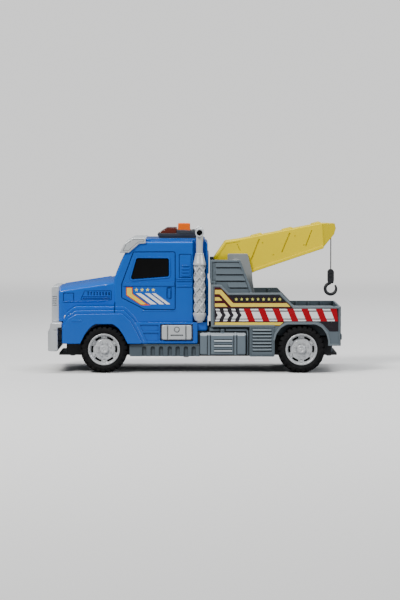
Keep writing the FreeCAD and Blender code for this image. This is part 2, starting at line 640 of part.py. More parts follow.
# boom: channel open underneath and at the rear, with a narrow two-walled nose
boom = body("boom")
boom_half = dim("boom_half")
pad_across(boom, boom_half, [
    (21.2, 124.9), (34.4, 144.1), (50.3, 146.2), (142.4, 164.2), (144.3, 136.2),
    (69.5, 111.2), (62.0, 108.0), (38.0, 107.5), (27.0, 113.0)])
pocket_across(boom, boom_half - dim("boom_wall"), [
    (24.2, 124.5), (35.6, 142.3), (50.6, 144.2), (146.0, 162.8),
    (146.0, 130.0), (69.5, 105.0), (38.0, 104.0), (29.5, 110.0)])
pad_across(boom, 8.0, [
    (126.0, 160.2), (142.4, 164.1), (156.6, 163.6), (157.0, 161.6), (142.0, 161.6),
    (126.0, 158.4)])
pad_sides(boom, 6.0, 8.0, [
    (132.0, 160.5), (142.4, 164.0), (156.6, 163.6), (158.2, 160.0), (156.2, 151.6),
    (147.0, 151.0), (140.0, 157.0)])
pocket_across(boom, boom_half + OVERCUT, circles=[
    pivot_bore, (tip_x, tip_z, dim("tip_pin_radius"))])
cylinder("boom_tip_pin", "y", (tip_x, -9.0, tip_z), dim("tip_pin_radius"), 18.0)

# winch: shaft with a head on the left and a knob on the right
fuse("winch_shaft", [
    cylinder("shaft_rod", "y", (pivot_x, -28.0, pivot_z), shaft_radius, 83.0),
    cylinder("shaft_head", "y", (pivot_x, -28.0, pivot_z), 5.0, 2.2)])
drum = dim("drum_radius")
turned("winch_drum", "xy", [
    (shaft_radius, -10.0), (8.5, -10.0), (8.5, -8.4), (drum, -8.0),
    (drum, 8.0), (8.5, 8.4), (8.5, 10.0), (shaft_radius, 10.0)], (pivot_x, 0, pivot_z))
turned("winch_knob", "xy", [
    (shaft_radius, 50.6), (9.0, 50.6), (9.5, 51.4), (9.5, 54.6), (8.4, 56.0), (CORE, 56.0),
    (CORE, 55.0), (shaft_radius, 55.0)], (pivot_x, 0, pivot_z))

# cord along the boom and over its tip, then the cord down to the hook
cord_radius = DIMENSIONS["cord_radius"]
hook_top = dim("hook_top")
rods("winch_cord", [
    [(44.2, 0, 124.45), (150.3, 0, 157.3), (152.4, 0, 157.0), (HOOK_X, 0, 155.6)]], cord_radius)
rods("hook_cord", [[(HOOK_X, 0, 154.9), (HOOK_X, 0, hook_top.value + GAP)]], cord_radius)


def hook_arc(radius, degrees):
    return [(HOOK_X + radius * math.cos(math.radians(t)),
             HOOK_Z + radius * math.sin(math.radians(t))) for t in degrees]


hook = body("hook")
hook_half = dim("hook_half")
# block above the bend: x from the hook's middle, z
block = [
    (-2.8, 96.0), (2.8, 96.0), (3.6, 99.0), (3.6, 110.0),
    (2.0, hook_top), (-2.0, hook_top), (-3.6, 110.0), (-3.6, 99.0)]
pad_across(hook, hook_half, hook_arc(8.0, range(100, 401, 20)) + hook_arc(4.4, range(390, 99, -20)))
pad_across(hook, hook_half + 1.0, [(HOOK_X + x, z) for x, z in block])

# ================================================================ electrics
cover = body("battery_cover")
pad(cover, "xy", floor_low, 20.3, rect(-24.8, -23.8, 37.8, 23.8))
pocket(cover, "xy", below, 21.0, circles=[(COVER_SCREW_X, 0.0, 1.45)])
turned("battery_cover_screw", "xz", [
    (CORE, 16.8), (2.2, 16.8), (2.6, 17.3), (2.6, head_top),
    (1.3, head_top), (1.3, 24.5), (CORE, 25.5)], (COVER_SCREW_X, 0, 0))

CELL_PITCH = 11.2
group("batteries", [
    cylinder("cell_%d" % i, "x", (-18.0, (i - 1) * CELL_PITCH, 26.0),
             dim("cell_radius"), dim("cell_length"))
    for i in range(3)])
group("battery_contacts", [
    box("contact_front", -24.9, -24.4, -17.0, 17.0, 20.6, 32.0),
    box("contact_rear", 28.9, 29.4, -17.0, 17.0, 20.6, 32.0)])
fuse("speaker", [
    cylinder("speaker_cone", "z", (SPEAKER_X, 0, 20.6), 14.0, 3.4),
    cylinder("speaker_magnet", "z", (SPEAKER_X, 0, 23.5), 7.0, 5.0)])

# switch housing over the floor slot, and the knob that reaches down through it
switch = body("power_switch_body")
pad(switch, "xy", floor_top + GAP, 25.0, rect(-55.0, -5.0, -40.0, 5.0))
pocket(switch, "xy", floor_top - 0.5, 23.6, rect(-53.2, -3.3, -41.8, 3.3))
switch_knob = body("power_switch_knob")
pad(switch_knob, "xy", 20.7, 23.4, rect(-51.6, -3.0, -46.6, 3.0))
pad(switch_knob, "xy", 16.6, 21.0, rect(-50.6, -1.7, -47.6, 1.7))

# wire pairs up to the circuit board: x, z of each bend
WIRE_TOP = 147.55
power_route = [(-23.2, 33.8), (-23.2, 60.0), (LEAD_X, 90.0), (LEAD_X, WIRE_TOP)]
speaker_route = [
    (SPEAKER_X, 28.6), (SPEAKER_X, 36.5), (-9.0, 36.5), (-9.0, 100.0),
    (-21.6, 138.0), (-21.6, WIRE_TOP)]
for name, route, radius in (
        ("power_wires", power_route, 0.7), ("speaker_wires", speaker_route, 0.6)):
    rods(name, [[(x, y, z) for x, z in route] for y in (-1.2, 1.2)], radius)

# ================================================================ printed labels
door_outline = [
    (-74.2, 93.8), (-68.0, 93.8), (-68.0, 88.0), (-58.4, 81.0), (-49.5, 76.0),
    (-26.0, 76.0), (-42.0, 88.0), (-44.0, 93.8), (-60.0, 95.0)]
bed_label_outline = [
    (22.2, 53.0), (92.5, 53.0), (99.5, 56.3), (136.0, 56.3), (141.5, 53.5),
    (148.0, 46.0), (158.6, 46.0), (158.6, 70.6), (108.7, 70.6), (93.9, 85.8),
    (36.9, 85.6), (28.2, 94.2), (22.2, 94.6)]
for name, half, outline in (
        ("door_label", cab_half, door_outline), ("bed_label", bed_half, bed_label_outline)):
    label = body(name + "_left")
    pad(label, "xz", -half - dim("label_thick"), -half, outline)
    mirrored(name + "_right", label)

# ================================================================ check and write
PAIRED = [
    "side_panel", "exhaust_stack", "tool_box", "louvre_housing", "front_tyre", "rear_tyre",
    "front_hub", "rear_hub", "door_label", "bed_label"]
SINGLE = [
    "chassis", "cab_shell", "cab_windows", "grille", "front_bumper", "sun_visor",
    "light_bar_base", "light_bar_lens", "sound_button", "button_dome", "circuit_board",
    "rear_bed", "mast_bracket", "boom", "boom_tip_pin", "winch_shaft", "winch_drum",
    "winch_knob", "winch_cord", "hook_cord", "hook", "front_axle", "rear_axle",
    "battery_cover", "battery_cover_screw", "speaker", "power_switch_body",
    "power_switch_knob"]
# node name: number of solids
NODES = {
    "headlights": 2, "leds": 2, "batteries": 3, "battery_contacts": 2,
    "chassis_screws": 8, "power_wires": 2, "speaker_wires": 2}
for name in SINGLE + [pair + end for pair in PAIRED for end in ("_left", "_right")]:
    NODES[name] = 1

doc.recompute()
bad = [item.Name for item in doc.Objects if "Invalid" in item.State or "Error" in item.State]
if bad:
    raise SystemExit("failed objects: %s" % bad)
pieces = {}
for name, count in NODES.items():
    found = [item for item in doc.Objects if item.Label == name]
    if len(found) != 1:
        raise SystemExit("node %s has %d objects" % (name, len(found)))
    shape = found[0].Shape
    if shape.isNull() or not shape.isValid():
        raise SystemExit("bad shape: %s" % name)
    if len(shape.Solids) != count:
        raise SystemExit("node %s has %d solids, not %d" % (name, len(shape.Solids), count))
    pieces[name] = shape

os.makedirs("parts", exist_ok=True)
for name, shape in pieces.items():
    shape.exportStep("parts/%s.step" % name)
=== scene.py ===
"""Toy crane truck: the looks of its CAD pieces, with a studio floor, lights and a camera.

The truck lies along X with its nose towards -X. Y runs across it, the left side at -Y,
and Z is up from the ground. Shapes are written in millimetres and built in metres.
"""
import math

import bmesh
import bpy
from mathutils import Matrix, Vector


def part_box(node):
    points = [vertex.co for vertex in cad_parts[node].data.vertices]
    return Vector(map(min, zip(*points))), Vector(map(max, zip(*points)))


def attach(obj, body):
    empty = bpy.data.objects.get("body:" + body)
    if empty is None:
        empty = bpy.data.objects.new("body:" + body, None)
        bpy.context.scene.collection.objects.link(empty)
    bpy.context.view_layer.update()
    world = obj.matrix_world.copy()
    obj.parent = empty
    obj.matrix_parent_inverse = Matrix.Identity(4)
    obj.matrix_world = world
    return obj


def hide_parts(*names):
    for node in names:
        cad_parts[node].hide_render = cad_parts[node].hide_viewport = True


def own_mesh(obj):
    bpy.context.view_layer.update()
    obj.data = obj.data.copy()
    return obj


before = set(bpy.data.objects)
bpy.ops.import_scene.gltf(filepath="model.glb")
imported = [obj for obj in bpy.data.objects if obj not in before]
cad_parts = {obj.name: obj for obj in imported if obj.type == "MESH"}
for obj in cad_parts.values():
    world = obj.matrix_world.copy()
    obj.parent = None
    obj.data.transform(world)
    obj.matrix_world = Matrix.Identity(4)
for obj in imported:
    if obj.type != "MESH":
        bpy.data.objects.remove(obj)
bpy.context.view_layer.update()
MM = 0.001
SIDES = (-1, 1)                                 # left, right
WINCH_X, WINCH_Z = 45.9, 118.8                  # axis of winch and boom pivot
CORD_X = 153.2                                  # where the hook cord hangs
CORD_TOP = 154.9
CAB_SCREWS = [(-136.0, 18.0), (-9.0, 37.0)]     # (x, distance from the middle)
BED_SCREWS = [(76.0, 23.0), (150.0, 20.0)]


# ---------------------------------------------------------------- materials
def linear(red, green, blue):
    """An sRGB colour of 0-255 as linear RGBA."""
    out = []
    for part in (red, green, blue):
        part /= 255.0
        out.append(part / 12.92 if part <= 0.04045 else ((part + 0.055) / 1.055) ** 2.4)
    return tuple(out) + (1.0,)


def shade(colour, gain, lift=0.0):
    return tuple(min(1.0, part * gain + lift) for part in colour[:3]) + (1,)


def add_node(tree, kind, inputs=None, **settings):
    """A shader node; inputs maps each socket to a value or to the output that feeds it."""
    made = tree.nodes.new("ShaderNode" + kind)
    for key, value in settings.items():
        setattr(made, key, value)
    for socket, value in (inputs or {}).items():
        if isinstance(value, bpy.types.NodeSocket):
            tree.links.new(value, made.inputs[socket])
        else:
            made.inputs[socket].default_value = value
    return made


def mix_colours(tree, factor, first, second):
    return add_node(tree, "Mix", {0: factor, 6: first, 7: second}, data_type="RGBA").outputs[2]


def map_range(tree, value, source=(0.0, 1.0), target=(0.0, 1.0), **settings):
    return add_node(tree, "MapRange", {
        "Value": value, "From Min": source[0], "From Max": source[1],
        "To Min": target[0], "To Max": target[1]}, **settings).outputs[0]


def surface(name, rgb, *,
            rough=0.35, rough_drift=0.06,       # roughness and its spread either way
            drift=0.05, drift_scale=70.0,       # colour drift and its noise scale
            grain=0.25, grain_scale=1400.0,     # mould grain bump and its noise scale
            metal=0.0, coat=0.0, spec=0.5, trans=0.0, ior=1.46, subsurface=0.0,
            edge=0.35,                          # shaded edge radius, mm
            edge_wear_and_highlight=0.0, dust=0.0, groove_shade=0.0):    # edges paled partly by wear and partly as a painted highlight, dust, painted shade in grooves
    """A moulded material: drifting colour, fine grain, and rounded edges that catch light."""
    material = bpy.data.materials.new(name)
    material.use_nodes = True
    tree = material.node_tree
    tree.nodes.clear()
    output = add_node(tree, "OutputMaterial")
    shader = add_node(tree, "BsdfPrincipled")
    tree.links.new(shader.outputs[0], output.inputs[0])
    place = add_node(tree, "TexCoord").outputs["Object"]
    clouds = add_node(tree, "TexNoise", {
        "Scale": drift_scale, "Detail": 4.0, "Vector": place}).outputs[0]
    base = linear(*rgb)
    colour = mix_colours(tree, clouds, shade(base, 1 - drift), shade(base, 1 + drift, 0.004))
    rounded_normal = add_node(tree, "Bevel", {"Radius": edge * MM}, samples=4).outputs[0]
    # every edge is paled alike, whatever the light: partly wear, partly a painted highlight
    if edge_wear_and_highlight > 0:
        true_normal = add_node(tree, "NewGeometry").outputs["Normal"]
        turn = add_node(tree, "VectorMath", {0: true_normal, 1: rounded_normal},
                        operation="DOT_PRODUCT").outputs["Value"]
        wear_and_highlight_mix = map_range(tree, turn, source=(0.995, 0.86), target=(0.0, edge_wear_and_highlight))
        colour = mix_colours(tree, wear_and_highlight_mix, colour, shade(base, 1.7, 0.03))
    if dust > 0:
        specks = add_node(tree, "TexNoise", {
            "Scale": 220.0, "Detail": 8.0, "Roughness": 0.7, "Vector": place}).outputs[0]
        cover = map_range(tree, specks, source=(0.5, 0.8), target=(0.0, dust))
        colour = mix_colours(tree, cover, colour, linear(150, 146, 140))
    # painted shade: ambient occlusion darkens the colour in grooves and recesses
    if groove_shade > 0:
        openness = add_node(tree, "AmbientOcclusion", {"Distance": 2.4 * MM},
                            samples=6, only_local=True).outputs["AO"]
        depth = map_range(tree, openness, source=(0.25, 0.85), target=(1.0, 0.0))
        depth = add_node(tree, "Math", {0: depth, 1: groove_shade}, operation="MULTIPLY").outputs[0]
        colour = mix_colours(tree, depth, colour, shade(base, 0.12))
    fine = add_node(tree, "TexNoise", {
        "Scale": grain_scale, "Detail": 2.0, "Vector": place}).outputs[0]
    bump = add_node(tree, "Bump", {
        "Strength": grain, "Distance": 0.00006, "Height": fine, "Normal": rounded_normal})
    roughness = map_range(tree, clouds, target=(max(0.02, rough - rough_drift),
                                                min(1.0, rough + rough_drift)))
    tree.links.new(colour, shader.inputs["Base Color"])
    tree.links.new(bump.outputs[0], shader.inputs["Normal"])
    tree.links.new(roughness, shader.inputs["Roughness"])
    values = {"Metallic": metal, "IOR": ior, "Specular IOR Level": spec, "Coat Weight": coat,
              "Coat Roughness": 0.08, "Transmission Weight": trans}
    if subsurface:
        values.update({"Subsurface Weight": subsurface, "Subsurface Radius": (0.6, 0.4, 0.2),
                       "Subsurface Scale": 0.0015})
    for socket, value in values.items():
        shader.inputs[socket].default_value = value
    return material


BLUE = surface("blue_abs", (0, 94, 196), rough=0.25, coat=0.6, spec=0.2, groove_shade=0.8,
               drift=0.04, edge_wear_and_highlight=0.22, edge=0.45)
GREY = surface("grey_abs", (100, 112, 120), rough=0.40, spec=0.4, groove_shade=0.85, edge_wear_and_highlight=0.32,
               edge=0.40)
# painted highlight: a lighter grey for the bed's raised border
BORDER_HIGHLIGHT_GREY = surface("grey_border_painted_highlight", (116, 127, 134), rough=0.38, drift=0.04, edge_wear_and_highlight=0.25)
# painted sheen: a lighter copy of the panel grey on the tank, for the light it reflects
TANK_SHEEN_GREY = surface("tank_painted_sheen_abs", (112, 125, 135), rough=0.34, spec=0.45, groove_shade=0.85,
                    edge_wear_and_highlight=0.32, edge=0.40)
# painted highlight: a near-white grey on the tank's faces that look up and out
TANK_SLOPE_HIGHLIGHT = surface("tank_slope_painted_highlight", (176, 186, 192), rough=0.30, groove_shade=0.6, drift=0.04,
                   edge_wear_and_highlight=0.2, edge=0.3)
# painted highlight: a lighter grey on the upper faces of the cabinet's louvre lips
LOUVRE_LIP_HIGHLIGHT = surface("louvre_lip_painted_highlight", (134, 146, 153), rough=0.38, spec=0.4, groove_shade=0.85,
                   edge_wear_and_highlight=0.3, edge=0.40)
# painted shade: a darker copy of the panel grey on the skirt, for the shade under the cab
SKIRT_SHADE_GREY = surface("skirt_painted_shade_abs", (84, 96, 104), rough=0.42, spec=0.4, groove_shade=0.85,
                     edge_wear_and_highlight=0.3, edge=0.40)
MAST = surface("mast_abs", (146, 150, 149), rough=0.42, spec=0.4, groove_shade=0.7, drift=0.04,
               edge_wear_and_highlight=0.2)
DARK = surface("charcoal_abs", (36, 37, 40), rough=0.45, drift=0.08, edge_wear_and_highlight=0.2)
BAR_GREY = surface("bar_abs", (52, 56, 62), rough=0.42, groove_shade=0.6, edge_wear_and_highlight=0.25)
SILVER = surface("silver_abs", (218, 222, 224), groove_shade=0.8, rough=0.36, metal=0.35,
                 drift=0.03, grain=0.35, grain_scale=2200.0, edge_wear_and_highlight=0.18, edge=0.4)
SILVER_RIM = surface("silver_rim", (228, 230, 232), groove_shade=0.8, rough=0.30, metal=0.45,
                     drift=0.03, grain_scale=2200.0, edge_wear_and_highlight=0.15, edge=0.3)
YELLOW = surface("yellow_abs", (250, 222, 0), rough=0.31, coat=0.03, spec=0.25,
                 groove_shade=0.55, drift=0.03, edge_wear_and_highlight=0.10, subsurface=0.02, edge=0.5)
ORANGE = surface("orange_abs", (255, 112, 4), rough=0.28, coat=0.08, spec=0.35,
                 drift=0.04, subsurface=0.10, edge_wear_and_highlight=0.2)
SMOKED = surface("smoked_black", (1, 1, 2), rough=0.10, coat=0.12, spec=0.25, drift=0.10,
                 grain=0.05, rough_drift=0.03)
AMBER = surface("amber_lens", (124, 36, 8), rough=0.14, coat=0.4, trans=0.45, ior=1.58,
                drift=0.12, drift_scale=160.0, grain=0.1)
CLEAR = surface("clear_lens", (226, 232, 238), rough=0.10, trans=0.45, ior=1.5, coat=0.5,
                drift=0.03, grain=0.05)
TYRE = surface("tyre_rubber", (15, 15, 17), groove_shade=0.5, rough=0.72, drift=0.18,
               drift_scale=240.0, grain=0.9, grain_scale=1800.0, spec=0.2, edge_wear_and_highlight=0.2,
               dust=0.06, edge=0.3)
STEEL = surface("zinc_steel", (170, 171, 174), rough=0.26, metal=1.0, grain=0.3)
BOARD = surface("solder_mask", (24, 96, 46), coat=0.3, drift=0.15, drift_scale=500.0)
CELL = surface("cell_can", (150, 116, 54), rough=0.3, metal=0.6, drift=0.2,
               drift_scale=60.0)
SPEAKER = surface("speaker_paper", (30, 30, 31), rough=0.8, drift=0.2, grain=1.0,
                  grain_scale=700.0)
WIRE = surface("wire_pvc", (176, 22, 26), rough=0.4, drift=0.06)
WIRE_BLACK = surface("wire_pvc_black", (24, 24, 26), rough=0.4, drift=0.06)
SILICONE = surface("silicone", (196, 198, 194), rough=0.5, subsurface=0.4)
CORD = surface("cord_nylon", (40, 40, 44), rough=0.7, drift=0.3, drift_scale=900.0,
               grain=1.0, grain_scale=2600.0)


def ink(name, rgb, **changes):
    """A glossy printed colour."""
    return surface(name, rgb, rough=0.26, coat=0.06, spec=0.3, grain=0.08, edge=0.05,
                   **changes)


INK_MAROON = ink("print_maroon", (74, 18, 26), drift=0.10, drift_scale=120.0)
INK_BLACK = ink("print_black", (38, 34, 40), drift=0.10, drift_scale=120.0)
INK_YELLOW = ink("print_yellow", (255, 222, 84), drift_scale=160.0)
INK_STAR = ink("print_star", (244, 240, 120), drift=0.04)
INK_WHITE = ink("print_white", (252, 252, 253), drift=0.02)
INK_RED = ink("print_red", (172, 0, 24))
INK_ORANGE = ink("print_orange", (236, 92, 42))


# ---------------------------------------------------------------- outlines
def rounded(points, radius=0.0, steps=4):
    """Outline with rounded corners; a point may carry its own radius as a third number."""
    out = []
    for i, point in enumerate(points):
        wanted = point[2] if len(point) > 2 else radius
        corner = Vector(point[:2])
        back = Vector(points[i - 1][:2]) - corner
        ahead = Vector(points[(i + 1) % len(points)][:2]) - corner
        back_length, ahead_length = back.length, ahead.length
        if wanted <= 0 or back_length < 1e-6 or ahead_length < 1e-6:
            out.append((corner.x, corner.y))
            continue
        back /= back_length
        ahead /= ahead_length
        angle = math.acos(max(-1, min(1, back.dot(ahead))))
        if angle < 0.08 or math.pi - angle < 0.05:
            out.append((corner.x, corner.y))
            continue
        # the arc never takes more than about half of either edge
        reach = min(wanted / math.tan(angle / 2), back_length * 0.48, ahead_length * 0.48)
        fitted = reach * math.tan(angle / 2)
        centre = corner + (back + ahead).normalized() * (fitted / math.sin(angle / 2))
        first, last = corner + back * reach, corner + ahead * reach
        start = math.atan2(first.y - centre.y, first.x - centre.x)
        sweep = math.atan2(last.y - centre.y, last.x - centre.x) - start
        while sweep > math.pi:
            sweep -= 2 * math.pi
        while sweep < -math.pi:
            sweep += 2 * math.pi
        for k in range(steps + 1):
            turn = start + sweep * k / steps
            out.append((centre.x + fitted * math.cos(turn), centre.y + fitted * math.sin(turn)))
    return out


def signed_area(points):
    following = points[1:] + points[:1]
    return 0.5 * sum(a[0] * b[1] - b[0] * a[1] for a, b in zip(points, following))


def mitre(before, after):
    """The offset at a corner between two edge directions, for unit distance to the left."""
    first = Vector((-before.y, before.x))
    second = Vector((-after.y, after.x))
    return first, second, 1.0 + first.dot(second)


def inset(points, distance):
    """The outline moved inwards (outwards when negative), with as many corners."""
    points = [p[:2] for p in points]
    sense = 1.0 if signed_area(points) > 0 else -1.0
    out = []
    for i, point in enumerate(points):
        corner = Vector(point)
        before = (corner - Vector(points[i - 1])).normalized()
        after = (Vector(points[(i + 1) % len(points)]) - corner).normalized()
        first, second, fold = mitre(before, after)
        moved = corner + (first * sense + second * sense) / max(fold, 0.25) * distance
        out.append((moved.x, moved.y))
    return out


def stroke(path, width):
    """A strip to the left of an open path (to the right when the width is negative)."""
    points = [Vector(p[:2]) for p in path]
    edges = [(b - a).normalized() for a, b in zip(points, points[1:])]
    inner = []
    for corner, before, after in zip(points, edges[:1] + edges, edges + edges[-1:]):
        first, second, fold = mitre(before, after)
        moved = corner + (first + second) / max(fold, 0.25) * width
        inner.append((moved.x, moved.y))
    return [(p.x, p.y) for p in points] + inner[::-1]


def along(start, end, width):
    """A thin bar outline from start to end."""
    start, end = Vector(start), Vector(end)
    way = (end - start).normalized()
    half = Vector((-way.y, way.x)) * width / 2
    return [tuple(start + half), tuple(end + half), tuple(end - half), tuple(start - half)]


def rect(left, low, right, high, radius=0.0, steps=4):
    return rounded([(left, low), (right, low), (right, high), (left, high)], radius, steps)


def circle(across, up, radius, sides=24, start=0.0):
    return [(across + radius * math.cos(start + 2 * math.pi * k / sides),
             up + radius * math.sin(start + 2 * math.pi * k / sides)) for k in range(sides)]


def turned(points, angle):
    cosine, sine = math.cos(angle), math.sin(angle)
    return [(x * cosine - y * sine, x * sine + y * cosine) for x, y in points]


# ---------------------------------------------------------------- solids
def at(axis, across, up, height):
    """Outline coordinates and a height along axis, to x, y, z."""
    return {"y": (across, height, up), "x": (height, across, up),
            "z": (across, up, height)}[axis]


def add_loop(bm, points, height, axis):
    return [bm.verts.new(Vector(at(axis, p[0], p[1], height)) * MM) for p in points]


def link_mesh(bm):
    mesh = bpy.data.meshes.new("part")
    bm.to_mesh(mesh)
    bm.free()
    ob = bpy.data.objects.new("part", mesh)
    bpy.context.scene.collection.objects.link(ob)
    return ob


def solid(bm):
    bmesh.ops.recalc_face_normals(bm, faces=bm.faces)
    return link_mesh(bm)


def discard(ob):
    mesh = ob.data
    bpy.data.objects.remove(ob)
    bpy.data.meshes.remove(mesh)


def add_prism(bm, points, low, high, axis="y", taper=0.0, slot=0):
    """taper insets the outline at high."""
    bottom = add_loop(bm, points, low, axis)
    top = add_loop(bm, inset(points, taper) if taper else points, high, axis)
    faces = [bm.faces.new(bottom), bm.faces.new(top[::-1])]
    for i in range(len(points)):
        j = (i + 1) % len(points)
        faces.append(bm.faces.new((bottom[i], top[i], top[j], bottom[j])))
    for face in faces:
        face.material_index = slot


def prisms(items, axis="y"):
    """Separate prisms in one mesh: items of (outline, low, high) and perhaps a taper."""
    bm = bmesh.new()
    for item in items:
        add_prism(bm, *item[:3], axis, *item[3:])
    return solid(bm)


def prism(points, low, high, axis="y", taper=0.0):
    return prisms([(points, low, high, taper)], axis)


def slab(points, half, axis="y"):
    """A prism that reaches equally far either way from the middle."""
    return prism(points, -half, half, axis)


def span(side, near, far):
    """The stretch between two distances from the middle on one side, low first."""
    return (near, far) if side > 0 else (-far, -near)


def pair(points, near, far):
    """The same outline on both sides, as items for prisms."""
    return [(points, *span(side, near, far)) for side in SIDES]


def ring(outer, inner, low, high, axis="y"):
    bm = bmesh.new()
    rows = [add_loop(bm, points, height, axis) for points, height in
            ((outer, low), (outer, high), (inner, high), (inner, low))]
    for k in range(4):
        here, beyond = rows[k], rows[(k + 1) % 4]
        for i in range(len(outer)):
            j = (i + 1) % len(outer)
            bm.faces.new((here[i], here[j], beyond[j], beyond[i]))
    return solid(bm)


def lathe(profile, sides, axis, centre=(0, 0, 0)):
    """profile: (radius, height) points; a radius of 0 closes on the axis."""
    bm = bmesh.new()
    rows = []
    for radius, height in profile:
        points = [(0, 0)] if radius < 1e-6 else circle(0, 0, radius, sides)
        rows.append(add_loop(bm, points, height, axis))
    joints = list(zip(rows, rows[1:]))
    if profile[0][0] > 1e-6 and profile[-1][0] > 1e-6:
        joints.append((rows[-1], rows[0]))
    for here, beyond in joints:
        if len(here) == 1 and len(beyond) == 1:
            continue
        for k in range(sides):
            j = (k + 1) % sides
            if len(here) == 1:
                bm.faces.new((here[0], beyond[k], beyond[j]))
            elif len(beyond) == 1:
                bm.faces.new((here[k], beyond[0], here[j]))
            else:
                bm.faces.new((here[k], beyond[k], beyond[j], here[j]))
    bmesh.ops.translate(bm, verts=bm.verts, vec=Vector(centre) * MM)
    return solid(bm)


def rod(x, z, radius, low, high, sides=36):
    """A plain round rod across the truck."""
    return lathe([(0, low), (radius, low), (radius, high), (0, high)], sides, "y", (x, 0, z))


def winch_bore(radius, low=-30.0, high=30.0):
    return rod(WINCH_X, WINCH_Z, radius, low, high)


def skin(bm, rows):
    """Joins loops of equal count and caps both ends."""
    for here, beyond in zip(rows, rows[1:]):
        for k in range(len(here)):
            j = (k + 1) % len(here)
            bm.faces.new((here[k], beyond[k], beyond[j], here[j]))
    bm.faces.new(rows[0])
    bm.faces.new(rows[-1][::-1])


def tube(points, radii, sides, up=(0, 1, 0)):
    """A capped round tube along 3-D points, with one radius or one per point."""
    bm = bmesh.new()
    rows = []
    points = [Vector(p) for p in points]
    reference = Vector(up)
    for i, point in enumerate(points):
        ahead, behind = points[min(i + 1, len(points) - 1)], points[max(i - 1, 0)]
        way = (ahead - behind).normalized()
        if abs(way.dot(reference)) > 0.98:
            reference = Vector((1, 0, 0)) if abs(way.x) < 0.9 else Vector((0, 0, 1))
        first = way.cross(reference).normalized()
        second = way.cross(first).normalized()
        reference = first.cross(way).normalized()
        radius = radii[i] if isinstance(radii, list) else radii
        row = []
        for k in range(sides):
            turn = 2 * math.pi * k / sides
            spoke = (first * math.cos(turn) + second * math.sin(turn)) * radius
            row.append(bm.verts.new((point + spoke) * MM))
        rows.append(row)
    skin(bm, rows)
    return solid(bm)


def loft(sections):
    """sections: (x, outline) with equal point counts."""
    bm = bmesh.new()
    skin(bm, [add_loop(bm, points, x, "x") for x, points in sections])
    return solid(bm)


def apply_modifiers(ob):
    graph = bpy.context.evaluated_depsgraph_get()
    mesh = bpy.data.meshes.new_from_object(
        ob.evaluated_get(graph), preserve_all_data_layers=True, depsgraph=graph)
    old = ob.data
    ob.modifiers.clear()
    ob.data = mesh
    bpy.data.meshes.remove(old)
    return ob


def bevel(ob, width, segments=2, angle=30):
    modifier = ob.modifiers.new("b", "BEVEL")
    modifier.width = width * MM
    modifier.segments = segments
    modifier.limit_method = "ANGLE"
    modifier.angle_limit = math.radians(angle)
    modifier.use_clamp_overlap = True
    return apply_modifiers(ob)


def boolean(ob, others, operation):
    """Combines ob with each of the others in turn; the others are used up."""
    for other in others:
        modifier = ob.modifiers.new("x", "BOOLEAN")
        modifier.operation = operation
        modifier.object = other
        modifier.solver = "MANIFOLD"
        apply_modifiers(ob)
        discard(other)
    return ob


def cut(ob, *others):
    return boolean(ob, others, "DIFFERENCE")


def add(ob, *others):
    return boolean(ob, others, "UNION")


def trim(ob, other):
    return boolean(ob, [other], "INTERSECT")


def copied(ob):
    twin = bpy.data.objects.new("part", ob.data.copy())
    bpy.context.scene.collection.objects.link(twin)
    return twin


def mirrored(ob):
    """A copy on the other side of the truck."""
    twin = copied(ob)
    twin.data.transform(Matrix.Scale(-1, 4, Vector((0, 1, 0))))
    twin.data.flip_normals()
    return twin


def join(pieces, slots=None):
    """Separate solids in one mesh; slots gives a material slot for each piece."""
    bm = bmesh.new()
    for number, piece in enumerate(pieces):
        first = len(bm.faces)
        bm.from_mesh(piece.data)
        if slots:
            bm.faces.ensure_lookup_table()
            for face in bm.faces[first:]:
                face.material_index = slots[number]
        discard(piece)
    return link_mesh(bm)


def paint(ob, *materials):
    ob.data.materials.clear()
    for material in materials:
        ob.data.materials.append(material)


def finish(ob, node, material, body="chassis", sharp=32.0, weighted=True):
    """Names, paints, shades and places the look of one CAD node."""
    ob.name = ob.data.name = node + "_look"
    if material is not None:
        paint(ob, material)
    bm = bmesh.new()
    bm.from_mesh(ob.data)
    bmesh.ops.remove_doubles(bm, verts=bm.verts, dist=1e-6)
    bmesh.ops.dissolve_degenerate(bm, edges=bm.edges, dist=1e-6)
    bm.to_mesh(ob.data)
    bm.free()
    for polygon in ob.data.polygons:
        polygon.use_smooth = True
    ob.data.set_sharp_from_angle(angle=math.radians(sharp))
    if weighted:
        modifier = ob.modifiers.new("weighted", "WEIGHTED_NORMAL")
        modifier.keep_sharp = True
        modifier.weight = 60
    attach(ob, body)
    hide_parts(node)


def finish_pair(left, node, material, sharp=32.0):
    right = mirrored(left)
    finish(left, node + "_left", material, sharp=sharp)
    finish(right, node + "_right", material, sharp=sharp)


def add_posts(body, places):
    """Screw posts with pilot holes on both sides; places are (x, distance, top)."""
    spots = [(x, side * y, top) for x, y, top in places for side in SIDES]
    add(body, prisms([(circle(x, y, 4.0, 20), 20.6, top) for x, y, top in spots], "z"))
    return cut(body, prisms([(circle(x, y, 1.55, 12), 18.0, 33.0) for x, y, _ in spots], "z"))


# ---------------------------------------------------------------- wheels
TREAD_BLOCKS = 26
WHEEL_MIDDLE = 45.5     # distance of the tyre's middle from the truck's middle
FRONT_TYRE_TURN = 0.13  # radians
